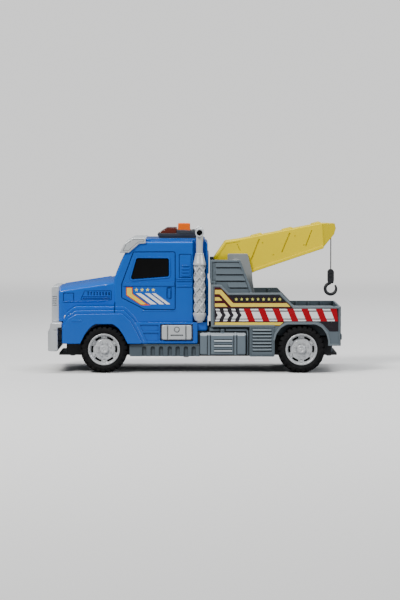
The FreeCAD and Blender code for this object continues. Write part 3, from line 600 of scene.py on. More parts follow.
# (distance from the truck's middle, radius, groove depth); the crown blocks are the
# three stations round the middle
TYRE_PROFILE = [
    (37.3, 17.7, 0.0), (37.0, 18.6, 0.0), (36.7, 20.0, 0.0), (36.6, 21.3, 0.0),
    (36.9, 21.6, 0.7), (37.0, 23.2, 1.0), (37.7, 24.7, 1.5), (38.9, 25.6, 1.7),
    (40.2, 25.9, 1.7), (42.2, 26.0, 1.6), (42.4, 25.0, 0.3), (43.3, 25.0, 0.3),
    (43.5, 26.0, 1.6), (45.5, 26.0, 1.6), (47.5, 26.0, 1.6),
    (47.7, 25.0, 0.3), (48.6, 25.0, 0.3), (48.8, 26.0, 1.6), (50.8, 25.9, 1.7),
    (52.1, 25.6, 1.7), (53.3, 24.7, 1.5), (54.0, 23.2, 1.0), (54.1, 21.6, 0.7),
    (54.4, 21.3, 0.0), (54.3, 20.0, 0.0), (54.0, 18.6, 0.0), (53.7, 17.7, 0.0)]
# (place within one tread pitch, whether it is down in the groove)
TREAD_PHASES = [(0.00, 0), (0.30, 0), (0.36, 1), (0.64, 1), (0.70, 0)]
# (radius, distance from the truck's middle)
RIM_PROFILE = [
    (2.05, 31.4), (4.2, 31.4), (4.2, 44.6), (14.6, 45.2), (15.2, 38.4), (16.6, 37.6),
    (17.6, 37.6), (17.6, 53.2), (17.1, 53.7), (16.2, 53.7), (15.6, 53.2), (15.2, 51.6),
    (14.8, 50.3), (13.9, 49.4), (12.4, 49.2), (11.2, 49.5), (10.8, 50.1), (10.3, 50.4),
    (9.4, 50.3), (5.3, 49.6), (4.9, 49.7), (4.7, 50.2), (4.5, 51.6), (4.0, 52.2),
    (2.4, 52.2), (2.1, 51.8), (1.4, 51.8), (1.2, 52.1), (0, 52.2), (0, 50.05),
    (2.05, 50.05)]
RIM_SLOT_RADII = (14.5, 12.1)
RIM_NOTCH = [(15.3, -0.55), (16.3, -0.55), (16.3, 0.55), (15.3, 0.55)]
RIM_RIB = [(11.6, -1.3), (15.0, -1.9), (15.0, 1.9), (11.6, 1.3)]


def make_tyre():
    """Right tyre about the Y axis, with tread blocks and knobbed shoulders."""
    bm = bmesh.new()
    rows = []
    for block in range(TREAD_BLOCKS):
        for phase, grooved in TREAD_PHASES:
            row = []
            for y, radius, depth in TYRE_PROFILE:
                crown = 43.5 <= y <= 47.5
                shift = 0.5 if crown else 0.0
                skew = (y - WHEEL_MIDDLE) * (0.010 if crown else -0.018)
                angle = 2 * math.pi * (block + phase + shift + skew) / TREAD_BLOCKS
                radius -= depth if grooved else 0.0
                point = Vector((radius * math.cos(angle), y, radius * math.sin(angle)))
                row.append(bm.verts.new(point * MM))
            rows.append(row)
    for here, beyond in zip(rows, rows[1:] + rows[:1]):
        for j in range(len(here) - 1):
            bm.faces.new((here[j], here[j + 1], beyond[j + 1], beyond[j]))
        bm.faces.new((here[-1], here[0], beyond[0], beyond[-1]))
    return solid(bm)


def make_hub():
    """Right rim with six slots, a notched lip, eight lug nuts and a centre boss."""
    rim = lathe(RIM_PROFILE, 96, "y")
    slots = []
    for k in range(6):
        angles = [math.pi * k / 3 + (step - 4) / 4 * 0.285 for step in range(9)]
        outer, inner = ([(radius * math.cos(a), radius * math.sin(a)) for a in angles]
                        for radius in RIM_SLOT_RADII)
        slots.append((outer + inner[::-1], 40.0, 56.0))
    cut(rim, prisms(slots))
    cut(rim, prisms([(turned(RIM_NOTCH, 2 * math.pi * (k + 0.5) / 24), 53.0, 54.5)
                     for k in range(24)]))
    nuts = []
    for k in range(8):
        a = 2 * math.pi * (k + 0.5) / 8
        nuts.append((circle(7.5 * math.cos(a), 7.5 * math.sin(a), 1.25, 6, a),
                     49.0, 51.5, 0.25))
    add(rim, prisms(nuts))
    add(rim, prisms([(turned(RIM_RIB, math.pi * k / 3 + math.pi / 6), 48.6, 50.5, 0.3)
                     for k in range(6)]))
    return bevel(rim, 0.12, 1, 40)


tyre_master, hub_master = make_tyre(), make_hub()
for end, tyre_turn in (("front", FRONT_TYRE_TURN), ("rear", 0.0)):
    for side, tag in ((-1, "left"), (1, "right")):
        low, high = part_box("%s_axle" % end)
        centre = ((low.x + high.x) / 2, 0, (low.z + high.z) / 2)
        for master, what, turn, material, slot in (
                (tyre_master, "tyre", tyre_turn, TYRE, "tyre"),
                (hub_master, "hub", 0.0, SILVER_RIM, "silver_plastic")):
            part = copied(master) if side > 0 else mirrored(master)
            part.data.transform(Matrix.Translation(centre) @ Matrix.Rotation(turn, 4, "Y"))
            finish(part, "%s_%s_%s" % (end, what, tag), material,
                   end + "_wheels", sharp=34)
discard(tyre_master)
discard(hub_master)

# ---------------------------------------------------------------- cab shell
# Side outlines are (x, z), some with a corner radius.
WINDOW = rounded([(-63.42, 126.39), (-27.88, 126.17), (-27.67, 106.15), (-70.23, 102.74)],
                 2.2, 5)
DOOR = rounded([(-66.83, 133.1), (-79.81, 97.9), (-79.81, 82.83), (-55.06, 70.07),
                (-20.96, 69.52), (-20.96, 133.32)], 2.0)
ARCH = rounded([
    (-126.8, 30.0), (-123.1, 37.4, 6), (-120.6, 42.4, 6), (-115.5, 49.5, 6),
    (-109.5, 54.3, 6), (-89.0, 54.3, 6), (-83.1, 49.5, 6), (-78.0, 42.4, 6),
    (-75.5, 37.4, 6), (-71.8, 30.0)])
SCREEN_FOOT, SCREEN_HEAD = (-88.3, 104.2), (-76.4, 132.0)   # windscreen line
CAB = rounded([
    (-75.0, 45.9), (14.9, 45.9), (14.9, 144.7, 3.5), (-66.0, 144.7, 3.0), SCREEN_HEAD,
    SCREEN_FOOT, (-88.3, 70.0), (-75.0, 60.0)], steps=5)
CROWN = [(-62.0, 140.0), (12.0, 140.0), (12.0, 146.6), (10.6, 147.6), (-58.0, 147.6)]
# (x, half width, lift above the hood line)
HOOD_STATIONS = [
    (-149.9, 36.2, -1.5), (-149.1, 37.2, -0.6), (-147.4, 37.8, -0.1), (-144.0, 38.0, 0),
    (-130, 38, 0), (-115, 38, 0), (-100, 38.2, 0), (-95, 39.2, 0), (-91, 41.2, 0.1),
    (-87.5, 44.6, 0.3), (-84.0, 47.6, 0.3), (-80.0, 49.4, 0.0), (-76.0, 49.6, -0.8)]
HOOD_LOW = 56.0
# three fender steps that come outwards as they go down: outline, reach, edge radius
FENDER_STEPS = [
    ([(-145.5, 32.3, 2), (-145.5, 52.0, 6), (-141.0, 66.0, 7), (-131.5, 73.2, 9),
      (-76.4, 73.2, 6), (-65.3, 62.3, 6), (-57.9, 48.9, 4), (-52.8, 33.9, 2),
      (-53.4, 32.3, 1)], 50.6, 2.1),
    ([(-145.5, 32.3, 2), (-145.4, 50.0, 6), (-140.2, 62.6, 7), (-131.0, 68.9, 8),
      (-77.6, 69.4, 6), (-67.4, 59.6, 6), (-59.9, 46.8, 4), (-54.4, 33.9, 2),
      (-54.9, 32.3, 1)], 53.9, 2.0),
    ([(-145.2, 32.3, 2), (-145.0, 49.0, 5), (-139.6, 59.4, 7), (-130.5, 64.9, 8),
      (-78.8, 65.7, 6), (-70.0, 57.0, 6), (-62.9, 44.8, 4), (-57.6, 33.9, 2),
      (-58.1, 32.3, 1)], 56.2, 2.0)]
SILL = rounded([(-66.0, 32.3, 1.0), (3.6, 32.3, 1.5), (3.6, 55.7, 2.2), (-66.0, 55.7, 1.0)])
# what is taken out of the inside: outline, half width
CAB_HOLLOWS = [
    (ARCH, 60),
    ([(-146.4, 30.0), (-146.4, 83.5), (-86.2, 91.5), (-86.2, 30.0)], 34.5),
    ([(-146.0, 60.0), (-146.0, 91.0), (-86.3, 98.5), (-86.3, 60.0)], 26.0),
    ([(-141.0, 56.3), (-137.5, 64.8), (-130.0, 70.0), (-124.6, 70.8), (-77.0, 70.8),
      (-68.2, 60.5), (-61.8, 47.5), (-57.4, 34.3), (-69.8, 34.3), (-73.7, 38.3),
      (-76.3, 43.4), (-81.7, 51.0), (-88.3, 56.3)], 48.8),
    ([(-143.5, 30.0), (-128.5, 30.0), (-128.5, 34.3), (-124.9, 38.4), (-122.6, 43.4),
      (-117.5, 50.6), (-117.5, 54.2), (-143.5, 54.2)], 52.6),
    (rect(-86.4, 28.0, -50.0, 75.0), 34),
    ([(-63.0, 30.0), (-4.4, 30.0), (-4.4, 142.2), (-65.0, 142.2), (-74.5, 130.6),
      (-86.0, 103.5), (-86.0, 75.3), (-72.0, 75.3), (-63.0, 66.0)], 48),
    (rect(-5.0, 28.0, 12.9, 142.2), 40),
    (rect(-5.0, 28.0, 12.9, 53.4), 47.8),
    ([(-56.0, 139.0), (9.8, 139.0), (9.8, 145.4), (-57.0, 145.4)], 39.5),
    (rect(-62.1, 28.0, 1.6, 54.1), 51.4)]
STACK_X, STACK_Y = 5.8, 49.5
BAY_RADIUS = 7.7
HOOD_VENT = rounded([(-121.5, 89.8), (-91.4, 90.2), (-91.4, 79.4), (-126.3, 79.4)], 1.0, 3)
SLEEPER_VENT = rect(-16.9, 104.6, -3.0, 130.9, 1.2, 3)
SILL_RECESS = rounded([(-52.6, 35.6), (-60.0, 53.2), (-39.2, 53.2), (-39.2, 35.6)], 0.8, 3)


def hood_top(x):
    return 95.4 + (x + 148.6) * 0.150


def hood_section(width, top):
    """(y, z) outline across the hood: flat sides, a shoulder and a crowned top."""
    half = [(width, HOOD_LOW), (width, top - 9.0), (width, top - 7.3),
            (width - 0.35, top - 6.5), (width - 1.1, top - 5.9), (width - 4.2, top - 4.7),
            (width * 0.70, top - 2.7), (width * 0.5, top - 1.4),
            (width * 0.25, top - 0.45), (0.0, top)]
    return half + [(-y, z) for y, z in reversed(half[:-1])]


def cab_mass():
    """Cab block with hood, roof crown, roof ridges, fenders and sills."""
    hood = loft([(x, hood_section(width, hood_top(x) + lift))
                 for x, width, lift in HOOD_STATIONS])
    mass = bevel(slab(CAB, 50), 3.0, 5, 25)
    crown = bevel(slab(CROWN, 44), 1.3, 3, 25)
    ridges = bevel(prisms(pair(rect(-48.0, 144.0, 11.0, 145.9), 45.2, 48.2)), 0.5, 2, 25)
    add(mass, hood, crown, ridges)
    for side in SIDES:
        steps = [bevel(prism(rounded(points, steps=6), *span(side, 30.0, reach)), radius, 5, 25)
                 for points, reach, radius in FENDER_STEPS]
        sill = bevel(prism(SILL, *span(side, 40.0, 53.5)), 1.3, 3, 25)
        add(mass, *steps, sill)
    return mass


def cut_openings(shell):
    """Inside hollows and arches, stack bays, windows, headlight and tool box openings."""
    cut(shell, *[slab(points, half) for points, half in CAB_HOLLOWS])
    add(shell, prisms(pair(rect(-128.0, 40.0, -77.0, 58.0), 34.0, 36.1)))   # arch walls
    bays = [(circle(STACK_X, side * STACK_Y, BAY_RADIUS, 48), 55.7, 150.0) for side in SIDES]
    headlight_holes = [(rect(inner, 57.0, outer, 66.0, 1.2, 3), -152.0, -136.0)
                       for inner, outer in ((38.6, 49.3), (-49.3, -38.6))]
    screen = rounded([(-41.5, 107.2), (41.5, 107.2), (39.6, 129.6), (-39.6, 129.6)], 3.0, 5)
    return cut(shell, prisms(bays, "z"), slab(WINDOW, 60), prisms(headlight_holes, "x"),
               prism(screen, -96.0, -66.5, "x"),
               prisms(pair(rect(-36.8, 36.0, -1.9, 53.8, 1.6, 3), 46, 60)),
               prism(circle(-24.0, 0.0, 4.0, 20), 140, 150, "z"))


def cut_side_grooves(shell, side):
    panel = rect(-145.1, 77.2, -133.0, 87.6, 0.8, 3)
    return cut(
        shell,
        ring(inset(DOOR, -0.5), inset(DOOR, 0.5), *span(side, 48.75, 51.5)),
        # split line between hood and cab
        prism([(-88.1, 66.0), (-87.2, 66.0), (-86.9, 78.0), (-87.8, 78.0)],
              *span(side, 37.0, 60.0)),
        # handle recess with its bar left standing
        ring(rect(-30.6, 80.9, -24.4, 94.8, 2.4), rect(-28.7, 82.7, -26.3, 93.0, 1.1),
             *span(side, 48.9, 51.5)),
        # hood vent: frame, upright slots, long grooves
        ring(HOOD_VENT, inset(HOOD_VENT, 0.7), *span(side, 37.3, 45.0)),
        prisms([(rect(x, 84.6, x + 1.5, 88.6, 0.5, 2), *span(side, 37.0, 45.0)) for x in
                (-118.0, -114.7, -111.4, -108.1, -104.8, -101.5, -98.2, -94.9)]),
        prisms([(rect(-123.5, z, -93.0, z + 0.8), *span(side, 37.2, 45.0))
                for z in (80.9, 82.6)]),
        # square panel near the nose
        ring(panel, rect(-144.3, 78.0, -133.8, 86.8, 0.5, 3), *span(side, 37.0, 45.0)),
        prism(SILL_RECESS, *span(side, 52.5, 60.0)),
        # tool box bay
        prism(rect(-37.8, 35.3, -1.2, 54.0, 1.4, 3), *span(side, 51.6, 60.0)),
        ring(SLEEPER_VENT, inset(SLEEPER_VENT, 0.8), *span(side, 49.1, 51.5)))


def add_side_mouldings(shell, side):
    def raised(points, near, far, width, segments=3):
        return bevel(prism(points, *span(side, near, far)), width, segments)

    def raised_row(outlines, near, far, width, segments=3):
        return bevel(prisms([(points, *span(side, near, far)) for points in outlines]),
                     width, segments)

    return add(
        shell,
        # window frame
        bevel(ring(inset(WINDOW, -1.7), inset(WINDOW, -0.05), *span(side, 49.0, 50.75)), 0.35),
        # belt moulding under the window, and three bars behind the door
        raised(rounded([(-78.8, 95.7), (-21.8, 95.7), (-21.8, 100.7), (-77.0, 98.9)], 0.3, 2),
               49.0, 50.9, 0.55),
        raised_row([rect(-19.6, low, -2.9, high, 0.2, 2) for low, high in
                    ((102.8, 104.2), (101.0, 102.3), (94.8, 96.8))], 49.0, 51.0, 0.45),
        # slats of the sleeper vent
        raised_row([rect(-13.9, z, -5.5, z + 1.7, 0.5, 2)
                    for z in (106.8, 110.3, 113.8, 117.3)], 49.0, 50.95, 0.45),
        # lips along the sill and the hood side
        raised(rect(-51.5, 33.2, 2.8, 34.8, 0.3, 2), 51.0, 54.3, 0.5),
        raised([(-145.6, 77.3), (-88.4, 77.9), (-88.4, 79.0), (-145.6, 78.4)],
               36.5, 38.9, 0.45),
        # line under the door, bar across the sill recess, step tread
        raised([(-58.0, 67.6), (-20.5, 67.9), (-20.5, 69.0), (-57.0, 69.0)],
               49.0, 50.35, 0.25, 2),
        raised(rounded([(-56.2, 44.3), (-38.9, 44.3), (-38.9, 46.3), (-57.0, 46.3)], 0.2, 2),
               51.8, 53.6, 0.55),
        raised_row([rect(x, 54.8, x + 1.1, 56.1) for x in range(-58, -9, 4)],
                   50.6, 53.0, 0.2, 1),
        # oval marker on the fender
        raised(rect(-134.6, 56.6, -123.6, 58.9, 1.1), 55.0, 56.55, 0.4))


cab = cut_openings(cab_mass())
for side in SIDES:
    cut_side_grooves(cab, side)
    add_side_mouldings(cab, side)
# hood grooves and ridge, rear wall ribs and frame
hood_groove = [(-143.0, 100.0), (-92.0, 108.0), (-92.0, hood_top(-92) - 1.25),
               (-143.0, hood_top(-143) - 1.25)]
cut(cab, prisms([(hood_groove, y, y + 0.8) for y in (-20.4, 19.6)]))
hood_ridge = [(-146.0, 92.0), (-93.0, 92.0), (-93.0, hood_top(-93) + 0.75),
              (-145.0, hood_top(-145) + 0.5)]
add(cab,
    bevel(prisms([(rect(y, 62.0, y + 2.0, 100.0), 14.0, 15.7)
                  for y in (-36, -28, -20, -12, -4, 4, 12, 20, 28, 34)], "x"), 0.4),
    bevel(ring(rect(-26, 108, 26, 132, 3), rect(-23.6, 110.4, 23.6, 129.6, 2),
               14.0, 16.0, "x"), 0.4),
    bevel(slab(hood_ridge, 1.6), 0.45))
add_posts(cab, [(*place, top) for place, top in zip(CAB_SCREWS, (94.0, 60.0))])
finish(cab, "cab_shell", BLUE)

# ---------------------------------------------------------------- cab windows
SCREEN_ROWS, SCREEN_COLUMNS = 7, 17
SCREEN_RUN = SCREEN_HEAD[0] - SCREEN_FOOT[0]
SCREEN_RISE = SCREEN_HEAD[1] - SCREEN_FOOT[1]
SCREEN_LENGTH = math.hypot(SCREEN_RUN, SCREEN_RISE)


def on_screen(share, off):
    """(x, z) at a share of the way up the windscreen, lifted off it by a distance."""
    return (SCREEN_FOOT[0] + SCREEN_RUN * share - SCREEN_RISE / SCREEN_LENGTH * off,
            SCREEN_FOOT[1] + SCREEN_RISE * share + SCREEN_RUN / SCREEN_LENGTH * off)


def windscreen():
    """A pane that narrows upwards and bulges in the middle."""
    bm = bmesh.new()
    rows = []
    for j in range(SCREEN_ROWS):
        share = 0.125 + (0.905 - 0.125) * j / 6
        half = 41.2 - 1.8 * j / 6
        front, back = [], []
        for i in range(SCREEN_COLUMNS):
            across = -1 + 2 * i / (SCREEN_COLUMNS - 1)
            for row, off in ((front, -1.4 + 1.1 * (1 - across * across)), (back, -2.6)):
                x, z = on_screen(share, off)
                row.append(bm.verts.new(Vector((x, across * half, z)) * MM))
        rows.append((front, back))
    for (front, back), (front_up, back_up) in zip(rows, rows[1:]):
        for i in range(SCREEN_COLUMNS - 1):
            bm.faces.new((front[i], front[i + 1], front_up[i + 1], front_up[i]))
            bm.faces.new((back[i], back_up[i], back_up[i + 1], back[i + 1]))
        bm.faces.new((front[0], front_up[0], back_up[0], back[0]))
        bm.faces.new((front[-1], back[-1], back_up[-1], front_up[-1]))
    for front, back in (rows[0], rows[-1]):
        for i in range(SCREEN_COLUMNS - 1):
            bm.faces.new((front[i], back[i], back[i + 1], front[i + 1]))
    return solid(bm)


def wipers():
    """On each side a bent arm and a straight blade."""
    out = []
    for side in SIDES:
        foot, tip = on_screen(0.13, 0.35), on_screen(0.66, 0.35)
        middle = ((foot[0] + tip[0]) / 2, side * 20.0, (foot[1] + tip[1]) / 2)
        out.append(tube([(foot[0], side * 13.0, foot[1]), middle,
                         (tip[0], side * 27.0, tip[1])], 0.55, 8))
        low, high = on_screen(0.36, 0.1), on_screen(0.86, 0.1)
        out.append(tube([(low[0], side * 30.0, low[1]), (high[0], side * 24.0, high[1])],
                        0.6, 8))
    return out


windows = slab([(-24.5, 99.9), (-24.5, 130.5), (-74.2, 130.5), (-85.8, 103.5),
                (-85.8, 99.9)], 47.85)
cut(windows, slab([(-20.0, 95.0), (-20.0, 135.0), (-70.9, 135.0), (-84.4, 103.9),
                   (-84.4, 95.0)], 46.6))
panes = [bevel(prism(inset(WINDOW, 0.12), *span(side, 47.0, 49.1)), 0.5, 3)
         for side in SIDES]
add(windows, *panes, windscreen())
add(windows, *wipers())
finish(windows, "cab_windows", SMOKED)

# ---------------------------------------------------------------- grille
GRILLE_SHIFT = -1.25    # the drawn grille moves forward by this, in x
GRILLE_FACE = rounded([(-29.6, 58.2, 1.5), (29.6, 58.2, 1.5), (29.6, 88.4, 3),
                       (26.4, 91.6, 3), (-26.4, 91.6, 3), (-29.6, 88.4, 3)])
BAR_PITCH = 3.25

grille = bevel(slab([(-156.9, 55.2), (-148.7, 55.2), (-148.7, 94.6), (-155.3, 94.6),
                     (-156.9, 92.9)], 33.0), 0.9, 3, 25)
cut(grille, prism(GRILLE_FACE, -158.5, -154.6, "x"))
bars = [(rect(k * BAR_PITCH - 0.75, 57.5, k * BAR_PITCH + 0.75, 92.2), -156.3, -154.0)
        for k in range(-8, 9)]
add(grille, bevel(prisms(bars, "x"), 0.3))
add(grille, bevel(prisms([(rect(-30.0, z, 30.0, z + 1.4), -156.5, -154.0)
                          for z in (66.6, 75.0, 83.4)], "x"), 0.3))
cut(grille, prisms([(rect(-155.9, z, -151.2, z + 1.1), *span(side, 32.3, 34.0))
                    for side in SIDES for z in (72.8, 75.2, 77.6, 80.0, 82.4)]))
for vertex in grille.data.vertices:
    vertex.co.x += GRILLE_SHIFT * MM
finish(grille, "grille", SILVER)

# ---------------------------------------------------------------- front bumper
BUMPER_SECTION = [(-161.4, 24.0), (-161.4, 45.0), (-159.0, 49.5), (-158.0, 55.1),
                  (-145.8, 55.1), (-145.8, 50.0), (-150.2, 50.0), (-150.2, 24.0)]
BUMPER_PLAN = rounded([(-161.6, -55.2, 9), (-140.0, -55.2), (-140.0, 55.2),
                       (-161.6, 55.2, 9)], steps=8)
BUMPER_FACE = rect(-51.0, 27.5, 51.0, 41.5, 2)
FOG_LAMP_Y, FOG_LAMP_Z = 40.0, 34.6     # the round lamps

bumper = bevel(slab(BUMPER_SECTION, 55.0), 1.1, 3, 20)
trim(bumper, prism(BUMPER_PLAN, 20.0, 60.0, "z"))
cut(bumper, slab([(-158.6, 26.6), (-158.6, 43.0), (-149.5, 43.0), (-149.5, 26.6)], 52.3))
cut(bumper,
    prism(rect(-20.5, 29.0, 20.5, 39.6, 1.6), -163, -159.9, "x"),
    prisms([(circle(side * FOG_LAMP_Y, FOG_LAMP_Z, 4.1, 28), -163, -159.8)
            for side in SIDES], "x"),
    ring(inset(BUMPER_FACE, -0.4), inset(BUMPER_FACE, 0.4), -162.5, -160.9, "x"))
add(bumper,
    bevel(prisms([(circle(side * FOG_LAMP_Y, FOG_LAMP_Z, 3.2, 24), -160.9, -159.0)
                  for side in SIDES], "x"), 0.5, 3),
    bevel(prisms([(rect(-20.7, z, 20.7, z + 1.2), -161.0, -159.0)
                  for z in (31.6, 34.2, 36.8)], "x"), 0.3),
    bevel(prisms([(rect(y - 1.6, 25.5, y + 1.6, 29.0, 0.4), -161.9, -160.0)
                  for y in (-27.0, 27.0)], "x"), 0.3))
cut(bumper, prisms(pair(rect(-160.2, 47.0, -146.2, 47.8), 54.5, 56.0)))
finish(bumper, "front_bumper", SILVER)

# ---------------------------------------------------------------- headlights
LENS = [(-143.2, 57.1), (-137.6, 57.1), (-137.6, 65.9), (-139.6, 65.9), (-140.6, 63.7)]
BULB = [(0, -139.9), (2.4, -139.9), (2.4, -142.6), (2.1, -143.2), (1.2, -143.6),
        (0, -143.75)]   # (radius, x)

headlights = []
for side in SIDES:
    lens = bevel(prism(LENS, *span(side, 38.7, 49.2)), 0.6, 3, 25)
    headlights.append(add(lens, *[lathe(BULB, 28, "x", (0, side * y, 60.9))
                                  for y in (41.4, 46.6)]))
finish(join(headlights), "headlights", CLEAR)

# ---------------------------------------------------------------- sun visor
VISOR = [(-82.2, 132.3), (-71.8, 132.3), (-60.3, 142.1), (-53.3, 142.5), (-53.3, 148.6),
         (-67.7, 148.6), (-76.4, 143.0)]
VISOR_GROOVE = rounded([
    (-78.6, 134.2), (-72.6, 134.2), (-61.2, 143.9), (-55.0, 144.3), (-55.0, 146.9),
    (-67.0, 146.9), (-74.9, 141.9)], 0.8, 3)

visor = bevel(slab(VISOR, 52.0), 0.9, 3, 20)
cut(visor,
    slab([(-81.7, 120.0), (-76.5, 132.0), (-66.05, 144.75), (-45.0, 144.75),
          (-45.0, 120.0)], 50.05),
    slab([(-62.2, 140.0), (-62.2, 143.0), (-58.1, 147.65), (-45.0, 147.65),
          (-45.0, 140.0)], 44.05))
cut(visor, *[ring(VISOR_GROOVE, inset(VISOR_GROOVE, 0.5), *span(side, 51.5, 53.0))
             for side in SIDES])
finish(visor, "sun_visor", SILVER)

# ---------------------------------------------------------------- light bar
BAR_BASE = [(-38.2, 147.7), (3.6, 147.7), (3.6, 153.7), (1.2, 155.6), (-11.0, 156.6),
            (-19.6, 156.6), (-19.6, 153.0), (-40.6, 153.0), (-41.0, 151.4)]
BAR_HOLLOW = [(-39.0, 140.0), (2.0, 140.0), (2.0, 152.4), (-3.8, 155.2), (-18.0, 155.2),
              (-18.0, 151.6), (-37.0, 151.6), (-37.2, 149.4)]

bar = bevel(slab(BAR_BASE, 30.0), 0.5, 3, 25)
cut(bar, slab(BAR_HOLLOW, 28.4),
    prism(rect(-18.95, -9.35, -4.15, 9.35, 1.2), 151.8, 160.0, "z"),
    prisms([(circle(-27.0, y, 3.0, 20), 150.5, 154.5) for y in (-14.0, 14.0)], "z"))
cut(bar, prisms(pair(rect(-40.6, 149.3, 3.2, 150.0), 29.4, 31.0)))
add(bar,
    bevel(prisms(pair(rect(-16.0, 151.4, 0.0, 152.5, 0.3), 29.2, 30.5)
                 + pair(rect(-16.0, 153.4, 0.0, 154.5, 0.3), 29.2, 30.5)), 0.25),
    bevel(prisms([(rect(-2.4, y, 0.6, y + 1.4, 0.3), 154.8, 156.4)
                  for y in (-24, -20, -16, 14.6, 18.6, 22.6)], "z"), 0.2))
finish(bar, "light_bar_base", BAR_GREY)

FLUTE_PITCH = 4.1
lens = bevel(slab([(-38.8, 153.05), (-19.7, 153.05), (-19.7, 158.9), (-30.6, 158.9),
                   (-38.6, 153.9)], 28.4), 0.5, 4, 25)
flutes = []
for k in range(13):
    y = -24.6 + k * FLUTE_PITCH
    flutes.append(([(y - 0.55, 159.4), (y, 158.35), (y + 0.55, 159.4)], -29.5, -19.0))
cut(lens, prisms(flutes, "x"),
    slab([(-33.4, 150.0), (-20.8, 150.0), (-20.9, 157.7), (-30.6, 157.7),
          (-33.6, 155.6)], 26.8))
finish(lens, "light_bar_lens", AMBER)

# ---------------------------------------------------------------- sound button and dome
button = bevel(prism(rect(-18.6, -9.0, -4.5, 9.0, 1.6, 5), 154.0, 163.7, "z", 0.3), 0.9, 4)
add(button, prism(rect(-17.6, -10.5, -4.5, 10.5, 1.0, 3), 153.6, 155.15, "z"))
cut(button, bevel(prism(rect(-15.8, -6.4, -7.3, 6.4, 1.4, 5), 163.1, 165.0, "z"), 0.3))
add(button, bevel(prisms([(rect(-14.6, y, -8.5, y + 1.3, 0.5, 3), 162.8, 163.6)
                          for y in (-4.6, -2.2, 0.9, 3.3)], "z"), 0.2))
finish(button, "sound_button", ORANGE, "sound_button")

DOME_X, DOME_LOW = -11.0, 148.9
DOME_PROFILE = [
    (0, 151.5), (2.0, 151.5), (2.1, 152.5), (3.1, 152.5), (4.3, 150.2), (4.6, 149.9),
    (4.6, DOME_LOW), (6.0, DOME_LOW), (6.0, 149.5), (5.7, 149.9), (5.2, 150.4),
    (4.4, 152.9), (4.0, 153.4), (3.5, 153.55), (0, 153.55)]
dome = lathe(DOME_PROFILE, 40, "z", (DOME_X, 0, 0))
finish(dome, "button_dome", SILICONE, sharp=45)
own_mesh(dome)

# ---------------------------------------------------------------- exhaust stacks
STACK_PROFILE = [       # (radius, z)
    (0, 55.76), (3.4, 55.76), (3.4, 57.5), (4.9, 57.6), (5.25, 57.9), (6.9, 62.9),
    (7.15, 63.6), (7.15, 65.9), (6.9, 66.25), (5.2, 66.4), (5.2, 118.6), (6.75, 118.75),
    (7.0, 119.1), (7.0, 120.8), (6.6, 121.4), (4.95, 129.3), (4.75, 129.9), (4.75, 131.2),
    (4.4, 131.6), (3.8, 131.8), (3.8, 149.6), (0, 149.6)]
OUTLET_Z = 154.3
OUTLET_LIP = [          # (radius, y)
    (3.0, -55.9), (3.3, -56.25), (4.3, -56.3), (4.8, -55.9), (4.8, -54.9), (4.4, -54.5),
    (3.0, -54.3)]
OUTLET_BORE = [(0, -60.0), (3.1, -60.0), (3.1, -52.6), (1.5, -50.4), (0, -50.2)]
ELBOW_RADIUS = 4.3
SHIELD_LOW, SHIELD_HIGH = 66.1, 118.9
STRIP_COUNT, STRIP_STEPS, STRIP_HALF = 4, 46, 0.95


def split_loose(ob):
    """One object for each loose part; ob is used up."""
    bm = bmesh.new()
    bm.from_mesh(ob.data)
    bm.verts.ensure_lookup_table()
    seen, out = set(), []
    for first in bm.verts:
        if first.index in seen:
            continue
        waiting, group = [first], []
        seen.add(first.index)
        while waiting:
            vertex = waiting.pop()
            group.append(vertex)
            for edge in vertex.link_edges:
                other = edge.other_vert(vertex)
                if other.index not in seen:
                    seen.add(other.index)
                    waiting.append(other)
        part = bmesh.new()
        made = {vertex.index: part.verts.new(vertex.co) for vertex in group}
        faces = set(face for vertex in group for face in vertex.link_faces)
        for face in sorted(faces, key=lambda face: face.index):
            part.faces.new([made[vertex.index] for vertex in face.verts])
        out.append(solid(part))
    bm.free()
    discard(ob)
    return out


def shield_strips(across):
    """Crossing helical strips round the left stack, trimmed to the shield's length."""
    # cross-section: (radius, height over the strip's middle)
    section = ((4.8, -STRIP_HALF), (6.35, -STRIP_HALF * 0.8), (6.5, 0),
               (6.35, STRIP_HALF * 0.8), (4.8, STRIP_HALF))
    bm = bmesh.new()
    for sense in (1, -1):
        for k in range(STRIP_COUNT):
            rows = []
            for i in range(STRIP_STEPS + 1):
                share = i / STRIP_STEPS
                z = SHIELD_LOW - 2 + (SHIELD_HIGH - SHIELD_LOW + 4) * share
                middle = (sense * (z - 66.3) / 11.4 * math.pi / 2
                          + k * math.pi / 2 + math.pi / 4)
                row = []
                for radius, rise in section:
                    angle = middle - sense * rise * 0.9 / 6.2
                    row.append(bm.verts.new(Vector((
                        STACK_X + radius * math.cos(angle),
                        across + radius * math.sin(angle), z + rise * 0.55)) * MM))
                rows.append(row)
            skin(bm, rows)
    return [trim(strip, ring(circle(STACK_X, across, 9.0, 40),
                             circle(STACK_X, across, 3.0, 40),
                             SHIELD_LOW, SHIELD_HIGH, "z"))
            for strip in split_loose(solid(bm))]


